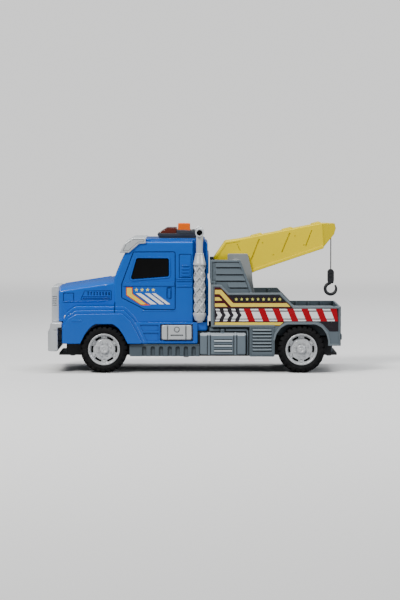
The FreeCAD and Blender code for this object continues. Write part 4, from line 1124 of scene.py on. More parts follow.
def left_stack():
    across = -STACK_Y
    stack = lathe(STACK_PROFILE, 56, "z", (STACK_X, across, 0))
    add(stack, *shield_strips(across))
    bend = [(STACK_X, across, OUTLET_Z - 5.3)]
    for k in range(11):
        angle = math.pi / 2 * k / 10
        bend.append((STACK_X, across - ELBOW_RADIUS + ELBOW_RADIUS * math.cos(angle),
                     OUTLET_Z - ELBOW_RADIUS + ELBOW_RADIUS * math.sin(angle)))
    bend.append((STACK_X, across - 6.35, OUTLET_Z))
    add(stack, tube(bend, 3.8, 32, up=(1, 0, 0)),
        lathe(OUTLET_LIP, 40, "y", (STACK_X, 0, OUTLET_Z)))
    cut(stack, lathe(OUTLET_BORE, 32, "y", (STACK_X, 0, OUTLET_Z)))
    # painted shade: the faces deep in the outlet bore take the dark charcoal
    paint(stack, SILVER, DARK)

    def in_shaded_bore(index):
        x, y, z = stack.data.vertices[index].co / MM
        near_axis = (x - STACK_X) ** 2 + (z - OUTLET_Z) ** 2 < 3.16 ** 2
        return near_axis and -60.0 < y < -49.5

    for polygon in stack.data.polygons:
        if all(in_shaded_bore(index) for index in polygon.vertices):
            polygon.material_index = 1
    return stack


finish_pair(left_stack(), "exhaust_stack", None, sharp=38)

# ---------------------------------------------------------------- tool boxes
LATCH = (-19.1, 48.0)
BOX_INSIDE = rect(-33.5, 39.2, -5.2, 50.6)

box = bevel(prism([(-35.7, 38.2), (-34.5, 37.0), (-4.2, 37.0), (-3.0, 38.2), (-3.0, 51.6),
                   (-4.2, 52.8), (-34.5, 52.8), (-35.7, 51.6)], -56.0, -49.2), 0.8, 3, 25)
cut(box,
    prisms([(rect(-30.0, 36.0, -28.4, 54.0), -57, -54.7),
            (rect(-9.9, 36.0, -8.3, 54.0), -57, -54.7),
            (rect(-26.2, 40.9, -12.2, 42.6, 0.7), -57, -54.5),
            (circle(*LATCH, 3.3, 28), -57, -55.0)]),
    prism(BOX_INSIDE, -54.0, -48.0))
add(box,
    bevel(prism(circle(*LATCH, 2.2, 28), -56.3, -54.2), 0.45, 3),
    ring(rect(-35.0, 37.7, -3.7, 52.1), BOX_INSIDE, -49.6, -45.0),
    ring(rect(-38.4, 34.4, -0.4, 53.7), rect(-33.6, 39.1, -5.1, 50.7), -46.4, -44.9))
finish_pair(box, "tool_box", SILVER)

# ---------------------------------------------------------------- lower side panels
PANEL_INNER = -44.05
SKIRT_SLOTS = (-55.1, -45.7, -36.6, -27.0, -18.3, -9.3, -0.7)
TANK_LIPS = (24.3, 29.8, 35.3)
CABINET_LOUVRES = (24.0, 27.7, 31.3, 35.0, 38.6, 42.2, 45.8)


def side_skirt():
    skirt = bevel(prism(rounded([(-71.2, 18.3, 1), (5.9, 18.3, 0.5), (5.9, 31.9, 0.5),
                                 (-71.2, 31.9, 1)], steps=3), -52.5, PANEL_INNER), 0.7, 3, 25)
    slots = [(rounded([(x - 2.4, 17.0), (x + 2.4, 17.0), (x + 2.4, 29.2, 2.1),
                       (x - 2.4, 29.2, 2.1)], steps=5), -54.0, -50.4) for x in SKIRT_SLOTS]
    cut(skirt, prisms(slots))
    return add(skirt, bevel(prism(rect(-70.6, 30.1, 5.3, 31.3), -52.95, -51.0), 0.25))


def side_tank():
    tank = bevel(prism(rounded([(6.3, 20.1, 2.0), (56.6, 20.1, 2.0), (56.6, 44.2, 1.6),
                                (6.3, 44.2, 1.6)]), -54.2, PANEL_INNER), 1.7, 4, 40)
    cut(tank, prisms([(rect(x, 19.0, x + 4.6, 45.0), -56.0, -53.3) for x in (13.9, 42.9)]))
    # the long top edge slopes, and each lip has a groove above it
    slope = [(-55.5, 41.1), (-54.25, 41.1), (-51.3, 44.25), (-51.3, 46.0), (-55.5, 46.0)]
    cut(tank, prism(slope, 5.0, 58.0, "x"),
        prisms([(rect(21.6, z + 1.15, 41.8, z + 2.1, 0.3), -56.0, -53.2)
                for z in TANK_LIPS]))
    strap = [(-54.6, 19.8), (-54.6, 41.6), (-52.0, 44.6), (PANEL_INNER, 44.6),
             (PANEL_INNER, 19.8)]
    straps = [bevel(prism(strap, x, x + 2.2, "x"), 0.45, 3, 25) for x in (15.1, 44.1)]
    lips = [bevel(prism([(-55.25, z - 0.9), (-55.15, z - 0.4), (-54.2, z + 1.15),
                         (-53.0, z + 1.15), (-53.0, z - 1.1), (-54.8, z - 1.1)],
                        21.8, 41.6, "x"), 0.2, 2, 25) for z in TANK_LIPS]
    add(tank, *straps, *lips)
    cap = [(0, 44.0), (2.6, 44.0), (2.6, 45.4), (1.9, 45.6), (1.9, 46.3), (2.75, 46.5),
           (2.75, 48.1), (2.4, 48.4), (0, 48.4)]
    return add(tank, lathe(cap, 28, "z", (31.0, -49.6, 0)))


def side_cabinet():
    """Louvred box behind the tank."""
    box = bevel(prism(rounded([(60.8, 18.1, 1.2), (88.3, 18.1, 1.2), (88.3, 50.4, 0.6),
                               (60.8, 50.4, 0.6)], steps=3), -54.0, PANEL_INNER), 0.8, 3, 25)
    cut(box, ring(rect(62.2, 19.5, 86.9, 49.1), rect(62.7, 20.0, 86.4, 48.6), -55.0, -53.5))
    cut(box, prisms([(rounded([(64.0, z - 0.5), (85.2, z - 0.5, 0.6), (85.2, z + 1.0, 0.6),
                               (64.0, z + 1.0)]), -55.0, -52.5) for z in CABINET_LOUVRES]))
    return add(box, *[bevel(prism([(-55.1, z + 0.9), (-55.0, z + 1.5), (-53.8, z + 2.5),
                                   (-53.0, z + 2.5), (-53.0, z + 0.9)], 64.4, 84.6, "x"),
                            0.3, 2, 25) for z in CABINET_LOUVRES])


def panel_slot(polygon):
    """Material slot of a side panel face: grey; the tank in a lighter grey as painted sheen; a
    painted highlight on the tank's faces that look up and out; the skirt in a darker grey as
    painted shade; a painted highlight on the louvre lips' upper faces.
    """
    x, y, z = polygon.center / MM
    faces_up = polygon.normal.z > 0.35
    if 6.2 < x < 56.7 and y < -46.3 and 19.9 < z < 44.8:
        return 2 if faces_up and polygon.normal.y < -0.2 else 1
    if x < 6.0:
        return 3
    return 4 if 64.2 < x < 84.8 and y < -53.6 and faces_up else 0


def left_side_panel():
    panel = side_skirt()
    plate = prism([(3.0, 22.0), (62.0, 22.0), (62.0, 50.4), (16.0, 50.4), (16.0, 45.4),
                   (3.0, 45.4)], -46.0, -44.1)
    strip = bevel(prism(rect(4.5, 21.0, 62.0, 30.0), -48.0, PANEL_INNER), 0.4)
    # channel that runs over the tank and down beside it
    bend = [(34.5, 46.1), (56.9, 46.1), (57.7, 45.3), (57.7, 19.4), (59.7, 19.4),
            (59.7, 46.8), (57.9, 48.6), (34.5, 48.6)]
    channel = bevel(prisms([(bend, -50.6, -45.5),
                            (rect(16.9, 46.1, 27.9, 48.6), -50.6, -45.5)]), 0.4, 2, 25)
    add(panel, plate, strip, channel, side_tank(), side_cabinet())
    paint(panel, GREY, TANK_SHEEN_GREY, TANK_SLOPE_HIGHLIGHT, SKIRT_SHADE_GREY, LOUVRE_LIP_HIGHLIGHT)
    for polygon in panel.data.polygons:
        slot = panel_slot(polygon)
        if slot:
            polygon.material_index = slot
    return panel


finish_pair(left_side_panel(), "side_panel", None)

# ---------------------------------------------------------------- rear bed
# (x, z, corner radius): lower edge, over the wheel arch, tail, and back along the top
BED = [(18.4, 50.9), (88.5, 50.9), (88.5, 35.6), (90.5, 43.0, 5), (95.5, 50.0, 7),
       (101.8, 53.5, 8), (134.0, 53.5, 8), (140.3, 50.0, 7), (145.3, 43.0, 5),
       (147.3, 35.6, 3), (147.3, 30.0), (161.4, 30.0), (161.4, 73.3), (109.8, 73.3),
       (95.0, 88.5), (38.0, 88.2), (29.2, 97.2), (18.4, 97.4)]
BED_PLAN = rounded([(18.4, -54.6, 1.2), (161.4, -54.6, 4.0), (161.4, 54.6, 4.0),
                    (18.4, 54.6, 1.2)], steps=6)
TAIL_LAMP_Y = 44.5
BORDER_WIDTH = 2.2


def within_bed_plan(ob):
    return trim(ob, prism(BED_PLAN, 20.0, 110.0, "z"))


def bed_border(side):
    """Raised strip round one side; it starts at the arch and ends at the lower edge."""
    path = rounded(BED[2:] + BED[:1], steps=5)
    border = bevel(prism(stroke(path, BORDER_WIDTH), *span(side, 52.6, 54.15)), 0.45)
    low_edge = rect(18.4, 50.9, 88.5, 50.9 + BORDER_WIDTH)
    add(border, bevel(prism(low_edge, *span(side, 52.6, 54.15)), 0.45))
    return within_bed_plan(border)


bed = within_bed_plan(bevel(slab(rounded(BED, steps=5), 53.4), 0.5, 2, 25))
cut(bed, slab(rect(20.9, 68.0, 158.9, 100.0), 50.9), slab(rect(20.9, 28.0, 158.9, 65.5), 51.2))
# floor pad and floor grooves
add(bed, bevel(prism(rect(112.0, -35.0, 156.0, 35.0, 2.0), 67.5, 69.0, "z"), 0.35))
cut(bed,
    prisms([(rect(115.0, y - 0.45, 153.0, y + 0.45, 0.4, 2), 68.5, 70.0)
            for y in range(-30, 31, 5)], "z"),
    prisms([(rect(x - 0.45, -47.5, x + 0.45, 47.5, 0.4, 2), 67.6, 69.0)
            for x in (80.0, 86.0, 92.0, 98.0, 104.0)], "z"))
# stiffening ribs inside the side walls: (x, top)
WALL_RIBS = [(84.0, 87.0), (100.0, 82.0), (116.0, 72.2), (130.0, 72.2), (144.0, 72.2)]
add(bed, bevel(prisms([(rect(x, 67.0, x + 2.0, top), *span(side, 48.9, 52.0))
                       for side in SIDES for x, top in WALL_RIBS]), 0.35))
# tail: recessed panel, moulded lamp clusters and a step bar
cut(bed,
    prism(rect(-27.0, 47.0, 27.0, 68.5, 2.0), 160.5, 163.0, "x"),
    prisms([(rect(side * TAIL_LAMP_Y - 6.2, 49.0, side * TAIL_LAMP_Y + 6.2, 69.0, 1.2, 3),
             160.7, 163.0) for side in SIDES], "x"),
    prism(rect(-44.0, 31.5, 44.0, 32.3), 160.6, 163.0, "x"))
add(bed,
    bevel(prisms([(circle(side * TAIL_LAMP_Y, z, 3.9, 28), 159.5, 161.7)
                  for side in SIDES for z in (54.0, 64.0)], "x"), 0.55, 3),
    bevel(prism(rect(-50.0, 36.5, 50.0, 42.5, 1, 3), 159.5, 162.6, "x"), 0.6, 3),
    bevel(prisms([(rect(y - 3.2, 31.0, y + 3.2, 37.0, 0.8), 159.5, 162.2)
                  for y in (-20.0, 20.0)], "x"), 0.4))
add_posts(bed, [(*place, 66.5) for place in BED_SCREWS])
add(bed, prisms(pair(rect(86.0, 40.0, 150.0, 66.5), 32.5, 35.0)))
# the raised borders take the lighter grey as a painted highlight
bed = join([bed, bed_border(-1), bed_border(1)], slots=(0, 1, 1))
bed.data.materials.append(GREY)
bed.data.materials.append(BORDER_HIGHLIGHT_GREY)
finish(bed, "rear_bed", None)

# ---------------------------------------------------------------- louvred housings
HOUSING = [(21.0, 68.05), (63.4, 68.05), (63.4, 89.9), (50.7, 124.3), (17.4, 124.3),
           (17.4, 99.0), (21.0, 99.0)]
HOUSING_HOLLOW = [(23.0, 70.0), (61.4, 70.0), (61.4, 89.5), (49.3, 122.3), (19.4, 122.3),
                  (19.4, 101.0), (23.0, 101.0)]
BLADE_FIELD = [(23.4, 60.0), (23.4, 130.0), (47.0, 130.0), (60.6, 88.5), (60.6, 60.0)]
LOW_BLADE_FIELD = [(38.3, 93.0), (36.4, 99.6), (36.4, 130.0), (47.0, 130.0), (60.4, 89.0),
                   (60.4, 60.0), (38.3, 60.0)]
# blade top, blade foot, field, gap's left end low and high, gap's right end
BLADES = [
    (121.7, 116.4, BLADE_FIELD, 24.4, 24.4, 49.6),
    (114.0, 108.6, BLADE_FIELD, 24.4, 24.4, 52.5),
    (106.4, 101.5, BLADE_FIELD, 24.4, 24.4, 55.1),
    (99.4, 94.0, LOW_BLADE_FIELD, 39.2, 38.8, 57.9)]


def left_housing():
    shell = bevel(prism(HOUSING, -50.0, -42.0), 0.6, 3, 25)
    cut(shell, prism(inset(HOUSING, 2.3), -52.0, -48.9), prism(HOUSING_HOLLOW, -46.6, -40.0))
    blades, gaps = [], []
    for top, foot, field, gap_low, gap_high, gap_end in BLADES:
        blade = prism([(-48.0, top), (-49.0, top), (-50.35, foot + 0.5), (-50.25, foot),
                       (-48.0, foot)], 19.8, 62.0, "x")
        blades.append(bevel(trim(blade, prism(field, -55.0, -44.0)), 0.22, 2, 25))
        gaps.append(([(gap_low, foot - 1.3), (gap_end, foot - 1.3), (gap_end - 0.5, foot),
                      (gap_high, foot)], -52.0, -47.4))
    cut(shell, prisms(gaps))
    return add(shell, *blades)


housing = left_housing()
right_housing = cut(mirrored(housing), winch_bore(3.4, 40.0, 52.0))
finish(housing, "louvre_housing_left", GREY)
finish(right_housing, "louvre_housing_right", GREY)

# ---------------------------------------------------------------- mast bracket
CHEEK = rounded([(26.0, 70.0), (29.5, 105.0, 6), (37.0, 118.0, 4), (37.0, 130.4, 1.6),
                 (59.2, 130.4, 1.8), (64.1, 110.0, 5), (64.8, 99.8, 6), (70.0, 70.0)], steps=5)
CHEEK_RECESS = rounded([(33.0, 76.0, 3), (33.9, 98.0, 3), (58.5, 98.0, 3), (62.5, 76.0, 3)])
BOLTS = [(69.5, -17.0), (69.5, 17.0)]

bracket = bevel(prism(rect(24.0, -25.0, 74.0, 25.0, 2.5), 68.05, 71.0, "z"), 0.5)
for side in SIDES:
    cheek = bevel(prism(CHEEK, *span(side, 22.0, 25.0)), 0.6, 3, 25)
    cut(cheek, prism(CHEEK_RECESS, *span(side, 24.2, 26.0)))
    eye = [(0, side * 21.8), (6.0, side * 21.8), (6.0, side * 25.5), (5.4, side * 25.9),
           (0, side * 25.9)]
    add(cheek,
        bevel(prism([(46.6, 76.5), (46.6, 97.5), (48.6, 97.5), (48.6, 76.5)],
                    *span(side, 23.5, 25.0)), 0.3),
        lathe(eye, 36, "y", (WINCH_X, 0, WINCH_Z)))
    add(bracket, cheek)
add(bracket, bevel(slab([(27.2, 70.5), (27.2, 84.0), (30.2, 84.0), (30.2, 70.5)], 22.5), 0.4))
add(bracket, bevel(prisms([(circle(*spot, 3.0, 24), 70.5, 72.0) for spot in BOLTS]
                          + [(circle(*spot, 1.6, 6), 71.5, 73.0) for spot in BOLTS], "z"),
                   0.25))
cut(bracket, winch_bore(3.3))
finish(bracket, "mast_bracket", MAST)

# ---------------------------------------------------------------- boom
BOOM = rounded([
    (21.2, 124.9, 1.5), (34.4, 144.1, 3), (50.3, 146.2, 4), (142.4, 164.2), (144.3, 136.2),
    (69.5, 111.2, 5), (62.0, 108.0, 4), (38.0, 107.5, 6), (27.0, 113.0, 3)])
BOOM_HOLLOW = [(24.2, 124.5), (35.6, 142.3), (50.6, 144.2), (146.0, 162.8), (146.0, 130.0),
               (69.5, 105.0), (38.0, 104.0), (29.5, 110.0)]
# side grooves: start, end, width, distance of the groove floor from the middle
BOOM_GROOVES = [
    ((72.44, 146.52), (63.53, 123.75), 1.5, 19.7),
    ((106.31, 153.12), (97.51, 131.78), 1.5, 19.7),
    ((130.62, 156.2), (124.03, 138.6), 1.1, 19.8),
    ((47.58, 140.8), (51.43, 133.1), 0.9, 19.9)]
BOOM_FLANGE = rounded([
    (41.0, 107.4), (62.0, 107.9, 3), (69.6, 111.1, 3), (144.1, 136.1), (143.8, 139.6),
    (68.4, 114.2, 3), (60.8, 111.2, 3), (41.0, 110.9)], steps=3)
BOOM_BEAD = stroke([(27.4, 113.2), (21.9, 124.8), (34.7, 143.4), (50.2, 145.6)], -2.0)
BOOM_DIMPLES = [(76.0, 142.0), (88.0, 128.5), (112.0, 149.5), (122.0, 139.5), (56.0, 116.5)]
NOSE_WALL = [(141.4, 164.0), (143.2, 136.6), (156.2, 151.4), (158.2, 158.0),
             (157.2, 162.6), (155.4, 163.8)]
NOSE_CHEEK = rounded([
    (132.0, 161.0), (142.4, 163.4), (156.0, 163.2, 2), (157.6, 160.0, 2), (156.0, 152.0, 3),
    (147.0, 151.2, 3), (140.0, 157.0, 3)], steps=3)


def boom_top(x):
    return 146.2 + (x - 50.3) * (18.0 / 92.1)


def boom_pad(start, end):
    """Raised pad on the sloping top."""
    low, high = boom_top(start), boom_top(end)
    return bevel(slab([(start, low - 1.5), (end, high - 1.5), (end - 1.3, high + 1.45),
                       (start + 1.3, low + 1.45)], 19.6), 0.45, 3, 25)


def nose_wall(side):
    """Side wall that draws in towards the tip."""
    wall = slab(NOSE_WALL, 1.05)
    for vertex in wall.data.vertices:
        share = min(max((vertex.co.x / MM - 142.0) / 16.2, 0.0), 1.0)
        vertex.co.y = side * (19.35 - 11.2 * share) * MM + vertex.co.y
    return bevel(wall, 0.35)


def nose_top():
    plate = prism([(141.0, -20.2), (157.0, -9.6), (157.0, 9.6), (141.0, 20.2)],
                  161.9, 164.0, "z")
    for vertex in plate.data.vertices:
        if vertex.co.x > 0.15:
            vertex.co.z -= 0.4 * MM
    return bevel(plate, 0.5)


boom = bevel(slab(BOOM, 20.5), 0.9, 3, 22)
cut(boom, slab(BOOM_HOLLOW, 18.4))
for side in SIDES:
    cut(boom, prisms([(along(start, end, width), *span(side, floor_y, 22.0))
                      for start, end, width, floor_y in BOOM_GROOVES]))
    add(boom, bevel(prism(BOOM_FLANGE, *span(side, 19.0, 21.4)), 0.5, 3),
        bevel(prism(BOOM_BEAD, *span(side, 19.0, 20.95)), 0.3))
    cut(boom, prisms([(circle(x, z, 0.9, 14), *span(side, 20.1, 22.0))
                      for x, z in BOOM_DIMPLES]))
    add(boom, bevel(prism(circle(WINCH_X, WINCH_Z, 1.7, 18), *span(side, 19.5, 21.3)), 0.3))
add(boom, *[boom_pad(*ends) for ends in ((62.5, 76.5), (97.5, 110.5), (130.5, 141.5))])
add(boom, nose_wall(-1), nose_wall(1), nose_top(),
    *[bevel(prism(NOSE_CHEEK, *span(side, 6.0, 8.0)), 0.4) for side in SIDES])
cut(boom, winch_bore(3.3), rod(151.0, 155.0, 1.6, -8.6, 8.6, 24))
finish(boom, "boom", YELLOW, "boom")

# ---------------------------------------------------------------- winch knob
KNOB_PROFILE = [        # (radius, y)
    (3.05, 50.6), (8.8, 50.6), (9.4, 51.1), (9.5, 51.5), (9.5, 54.4), (9.1, 55.3),
    (8.3, 55.9), (7.4, 55.7), (6.9, 55.2), (3.8, 55.2), (3.4, 55.5), (3.0, 55.9), (0, 56.0),
    (0, 55.05), (3.05, 55.05)]
KNOB_GRIPS = 24

knob = lathe(KNOB_PROFILE, 96, "y", (WINCH_X, 0, WINCH_Z))
grips = []
for k in range(KNOB_GRIPS):
    angle = 2 * math.pi * k / KNOB_GRIPS
    grips.append((circle(WINCH_X + 10.0 * math.cos(angle), WINCH_Z + 10.0 * math.sin(angle),
                         0.85, 10, angle), 49.0, 57.0))
cut(knob, prisms(grips))
add(knob, bevel(prism(rect(38.4, 117.7, 53.4, 119.9), 54.6, 56.0), 0.35))
finish(knob, "winch_knob", DARK, "winch", sharp=36)

# ---------------------------------------------------------------- cords
STRAND_PITCH, STRAND_RADIUS, STRAND_OFFSET, STRAND_SIDES = 2.6, 0.36, 0.31, 7


def rope(path, step):
    """A three-strand twisted cord along a path, sampled about every step."""
    points = [Vector(p) for p in path]
    lengths = [(b - a).length for a, b in zip(points, points[1:])]
    total = sum(lengths)
    count = int(total / step)
    samples = []
    for i in range(count + 1):
        rest = total * i / count
        k = 0
        while k < len(lengths) - 1 and rest > lengths[k]:
            rest -= lengths[k]
            k += 1
        samples.append((points[k].lerp(points[k + 1], min(1.0, rest / lengths[k])),
                        (points[k + 1] - points[k]).normalized(), total * i / count))
    strands = []
    for strand in range(3):
        centres = []
        for point, way, distance in samples:
            reference = Vector((0, 1, 0)) if abs(way.y) < 0.9 else Vector((1, 0, 0))
            first = way.cross(reference).normalized()
            second = way.cross(first).normalized()
            turn = 2 * math.pi * (distance / STRAND_PITCH + strand / 3)
            centres.append(point + first * STRAND_OFFSET * math.cos(turn)
                           + second * STRAND_OFFSET * math.sin(turn))
        strands.append(tube(centres, STRAND_RADIUS, STRAND_SIDES))
    return join(strands)


hook_cord = rope([(CORD_X, 0, 112.05), (CORD_X, 0, CORD_TOP)], step=0.45)
finish(hook_cord, "hook_cord", CORD, "hook_line", sharp=60, weighted=False)
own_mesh(hook_cord)
winch_cord = rope([(44.2, 0, 124.45), (150.3, 0, 157.3), (152.0, 0, 157.15),
                   (152.9, 0, 156.5), (CORD_X, 0, 155.5)], step=0.7)
finish(winch_cord, "winch_cord", CORD, "boom", sharp=60, weighted=False)

# ---------------------------------------------------------------- hook
HOOK_RADIUS, HOOK_Z = 6.2, 90.0
HOOK_BLOCK = rounded([
    (150.4, 96.0, 1.0), (156.0, 96.0, 1.0), (156.8, 99.0, 1.5), (156.8, 109.6, 1.5),
    (155.0, 112.0, 1.0), (151.4, 112.0, 1.0), (149.6, 109.6, 1.5), (149.6, 99.0, 1.5)],
    steps=3)

centres, radii = [(152.8, 0.0, 98.0)], [1.9]
for k in range(31):
    angle = math.radians(100 + 300 * k / 30)
    centres.append((CORD_X + HOOK_RADIUS * math.cos(angle), 0.0,
                    HOOK_Z + HOOK_RADIUS * math.sin(angle)))
    radii.append(1.8 if k < 22 else 1.8 - 0.75 * (k - 22) / 8)
hook = tube(centres, radii, 20)
for vertex in hook.data.vertices:
    vertex.co.y *= 1.25
block = bevel(slab(HOOK_BLOCK, 3.5), 0.7, 3)
cut(block, prisms(pair(rect(151.6, 100.6, 154.8, 107.8, 1.2), 3.0, 4.0)))
add(block, bevel(prisms(pair(circle(CORD_X, 104.2, 1.0, 16), 2.0, 3.55)), 0.2),
    lathe([(0, 111.0), (1.7, 111.0), (1.7, 112.0), (1.2, 112.05), (0, 112.05)],
          20, "z", (CORD_X, 0, 0)))
add(hook, block)
finish(hook, "hook", DARK, "hook")

# ---------------------------------------------------------------- screws
SHOULDER_Z = 17.95


def screw(x, y, *, head_radius, head_z, top, shank_radius):
    """A screw with its head downwards and a cross recess in it."""
    profile = [(0, head_z), (head_radius * 0.72, head_z), (head_radius * 0.95, head_z + 0.35),
               (head_radius, head_z + 0.8), (head_radius, SHOULDER_Z),
               (shank_radius, SHOULDER_Z), (shank_radius, top - 2.0), (0, top)]
    thin, long = 0.42, head_radius * 0.55
    return cut(lathe(profile, 28, "z", (x, y, 0)),
               *[prism(rect(x - a, y - b, x + a, y + b), head_z - 1.0, head_z + 0.9, "z")
                 for a, b in ((long, thin), (thin, long))])


screws = [screw(x, side * y, head_radius=3.0, head_z=16.2, top=32.0, shank_radius=1.5)
          for x, y in CAB_SCREWS + BED_SCREWS for side in SIDES]
finish(join(screws), "chassis_screws", STEEL)
finish(screw(34.5, 0.0, head_radius=2.6, head_z=16.8, top=25.5, shank_radius=1.3),
       "battery_cover_screw", STEEL)

# ---------------------------------------------------------------- printed labels
def star(x, z, radius):
    out = []
    for k in range(10):
        reach = radius if k % 2 == 0 else radius * 0.42
        out.append((x + reach * math.sin(math.pi * k / 5), z + reach * math.cos(math.pi * k / 5)))
    return out


def make_label(node, layers, inks, face):
    """layers: (outline, ink, height above the face); the same drawing goes on both sides."""
    for side, tag in ((-1, "left"), (1, "right")):
        bm = bmesh.new()
        for points, colour, height in layers:
            add_prism(bm, points, *span(side, face - 0.05, face + height),
                      slot=inks.index(colour))
        label = solid(bm)
        for colour in inks:
            label.data.materials.append(colour)
        finish(label, "%s_%s" % (node, tag), None, sharp=30, weighted=False)


DOOR_BAND = [(-74.25, 93.61), (-68.695, 93.61), (-68.365, 86.9), (-53.185, 75.9),
             (-58.355, 75.35), (-74.085, 85.91)]
STRIPE_TOP, STRIPE_LOW = 87.78, 75.57
# slanted stripes: left and right x at the top, left and right x at the foot
DOOR_STRIPES = [(-64.515, -58.795, -48.015, -41.195), (-54.615, -49.335, -38.445, -33.055),
                (-46.915, -42.735, -30.745, -26.345)]

door_layers = [
    (inset(DOOR_BAND, -1.045), INK_MAROON, 0.05),
    (inset(DOOR_BAND, -0.682), INK_ORANGE, 0.08),
    (DOOR_BAND, INK_YELLOW, 0.11),
    ([(-55.935, 76.78), (-53.185, 76.56), (-47.795, 74.58), (-57.475, 74.36)],
     INK_ORANGE, 0.10)]
for top_left, top_right, low_left, low_right in DOOR_STRIPES:
    door_layers.append(([(top_left - 0.77, STRIPE_TOP), (top_left, STRIPE_TOP),
                         (low_left, STRIPE_LOW), (low_left - 0.99, STRIPE_LOW)],
                        INK_BLACK, 0.06))
    door_layers.append(([(top_left, STRIPE_TOP), (top_right, STRIPE_TOP),
                         (low_right, STRIPE_LOW), (low_left, STRIPE_LOW)], INK_WHITE, 0.10))
for x in (-63.635, -57.365, -51.315, -45.155):
    door_layers.append((star(x, 91.52, 2.31), INK_STAR, 0.10))
make_label("door_label", door_layers,
           [INK_MAROON, INK_ORANGE, INK_YELLOW, INK_BLACK, INK_WHITE, INK_STAR], 50.0)

# bed label: black ground, maroon fields, yellow lines
BED_GROUNDS = [
    ([(22.165, 94.27), (28.215, 94.27), (37.125, 85.8), (93.665, 85.8), (108.625, 70.84),
      (158.345, 70.84), (158.345, 45.76), (148.885, 45.76), (141.185, 54.01),
      (136.125, 56.76), (99.825, 56.76), (93.885, 51.81), (22.165, 51.81)], INK_BLACK, 0.05),
    ([(22.165, 94.27), (28.215, 94.27), (30.525, 92.73), (44.385, 78.21), (103.565, 78.21),
      (107.965, 71.94), (22.165, 71.94)], INK_MAROON, 0.07),
    ([(22.165, 56.76), (99.385, 56.76), (93.885, 51.81), (22.165, 51.81)], INK_MAROON, 0.07),
    ([(22.715, 91.63), (29.755, 91.63), (42.735, 77.0), (101.695, 77.0), (105.655, 73.04),
      (40.535, 73.04), (27.885, 87.01), (22.715, 87.01)], INK_YELLOW, 0.10),
    ([(22.715, 83.6), (27.445, 83.6), (30.745, 79.86), (22.715, 79.86)], INK_YELLOW, 0.10),
    ([(22.715, 76.78), (33.275, 76.78), (36.575, 73.04), (22.715, 73.04)], INK_YELLOW, 0.10),
    ([(22.715, 55.88), (97.845, 55.88), (94.325, 52.69), (22.715, 52.69)], INK_YELLOW, 0.10)]
# three white rows, each with the left and right edge of a chevron: (x offset, z)
WHITE_ROWS = [
    ([(0.0, 70.73), (0.77, 68.97)], [(4.29, 70.73), (5.06, 68.97)]),
    ([(0.55, 67.65), (2.97, 63.8), (0.55, 60.06)],
     [(4.95, 67.65), (7.26, 63.8), (4.95, 60.06)]),
    ([(0.44, 58.96), (-0.22, 57.2)], [(4.84, 58.96), (4.18, 57.2)])]
CHEVRON_X, CHEVRON_PITCH = 23.155, 8.69
FIRST_WHITE_X = 49.225
RED_X, RED_PITCH, RED_WIDTH, RED_COUNT = 54.065, 15.84, 7.37, 7
RED_TOP, RED_LOW = 71.06, 56.98
RED_END = 158.015       # the last red stripe is clipped here
STRIPE_SLOPE = 5.0 / 12.4


def slanted(x, z):
    """The point at height z on a slanted line that starts at x on the red top."""
    return (x + (RED_TOP - z) * STRIPE_SLOPE, z)


def offset_edge(edge, x):
    return [(x + offset, z) for offset, z in edge]


def between(left, right):
    """Outline from the left edge's top, down the right edge and back up the left."""
    return left[:1] + right + left[:0:-1]


bed_layers = list(BED_GROUNDS)
for k in range(9):
    bed_layers.append((star(46.145 + 5.984 * k, 81.29, 1.98), INK_STAR, 0.10))
for k in range(3):
    x = CHEVRON_X + CHEVRON_PITCH * k
    for left, right in WHITE_ROWS:
        bed_layers.append((between(offset_edge(left, x), offset_edge(right, x)),
                           INK_WHITE, 0.09))
for k in range(RED_COUNT):
    x = RED_X + RED_PITCH * k
    for left, right in WHITE_ROWS:
        heights = (left[0][1], left[-1][1])
        if k == 0:
            bed_layers.append((between(offset_edge(left, FIRST_WHITE_X),
                                       [slanted(x, z) for z in heights]), INK_WHITE, 0.09))
        if k < RED_COUNT - 1:
            bed_layers.append((between([slanted(x + RED_WIDTH, z) for z in heights],
                                       [slanted(x + RED_PITCH, z) for z in heights]),
                               INK_WHITE, 0.09))
    red = [(x, RED_TOP), (x + RED_WIDTH, RED_TOP), slanted(x + RED_WIDTH, RED_LOW),
           slanted(x, RED_LOW)]
    bed_layers.append(([(min(across, RED_END), z) for across, z in red], INK_RED, 0.095))
make_label("bed_label", bed_layers,
           [INK_BLACK, INK_MAROON, INK_YELLOW, INK_RED, INK_WHITE, INK_STAR], 53.4)

# ---------------------------------------------------------------- CAD nodes shown as they are
for node, material in (
        ("chassis", DARK), ("battery_cover", DARK), ("batteries", CELL),
        ("battery_contacts", STEEL), ("speaker", SPEAKER), ("power_switch_body", DARK),
        ("power_switch_knob", DARK), ("power_wires", WIRE), ("speaker_wires", WIRE_BLACK),
        ("front_axle", STEEL), ("rear_axle", STEEL), ("winch_shaft", STEEL),
        ("winch_drum", DARK), ("boom_tip_pin", STEEL), ("circuit_board", BOARD),
        ("leds", CLEAR)):
    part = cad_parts[node]
    paint(part, material)
    for polygon in part.data.polygons:
        polygon.material_index = 0

# ---------------------------------------------------------------- studio floor
PALE = 1.1              # brightness of the far floor and the backdrop, to the camera
FAR_GLOW = 0.28         # brightness of the far floor to everything else
NEAR_BOUNCE = 0.30      # grey of the near floor to everything but the camera
FLOOR_FADE = (0.35, 2.2)    # radii, in metres, between which the floor starts to glow
FLOOR_RADII = (0.6, 1.4, 2.6, 5.0, 12.0, 60.0)
FLOOR_SIDES = 64
WARM_WHITE = (1.0, 1.0, 0.995, 1)


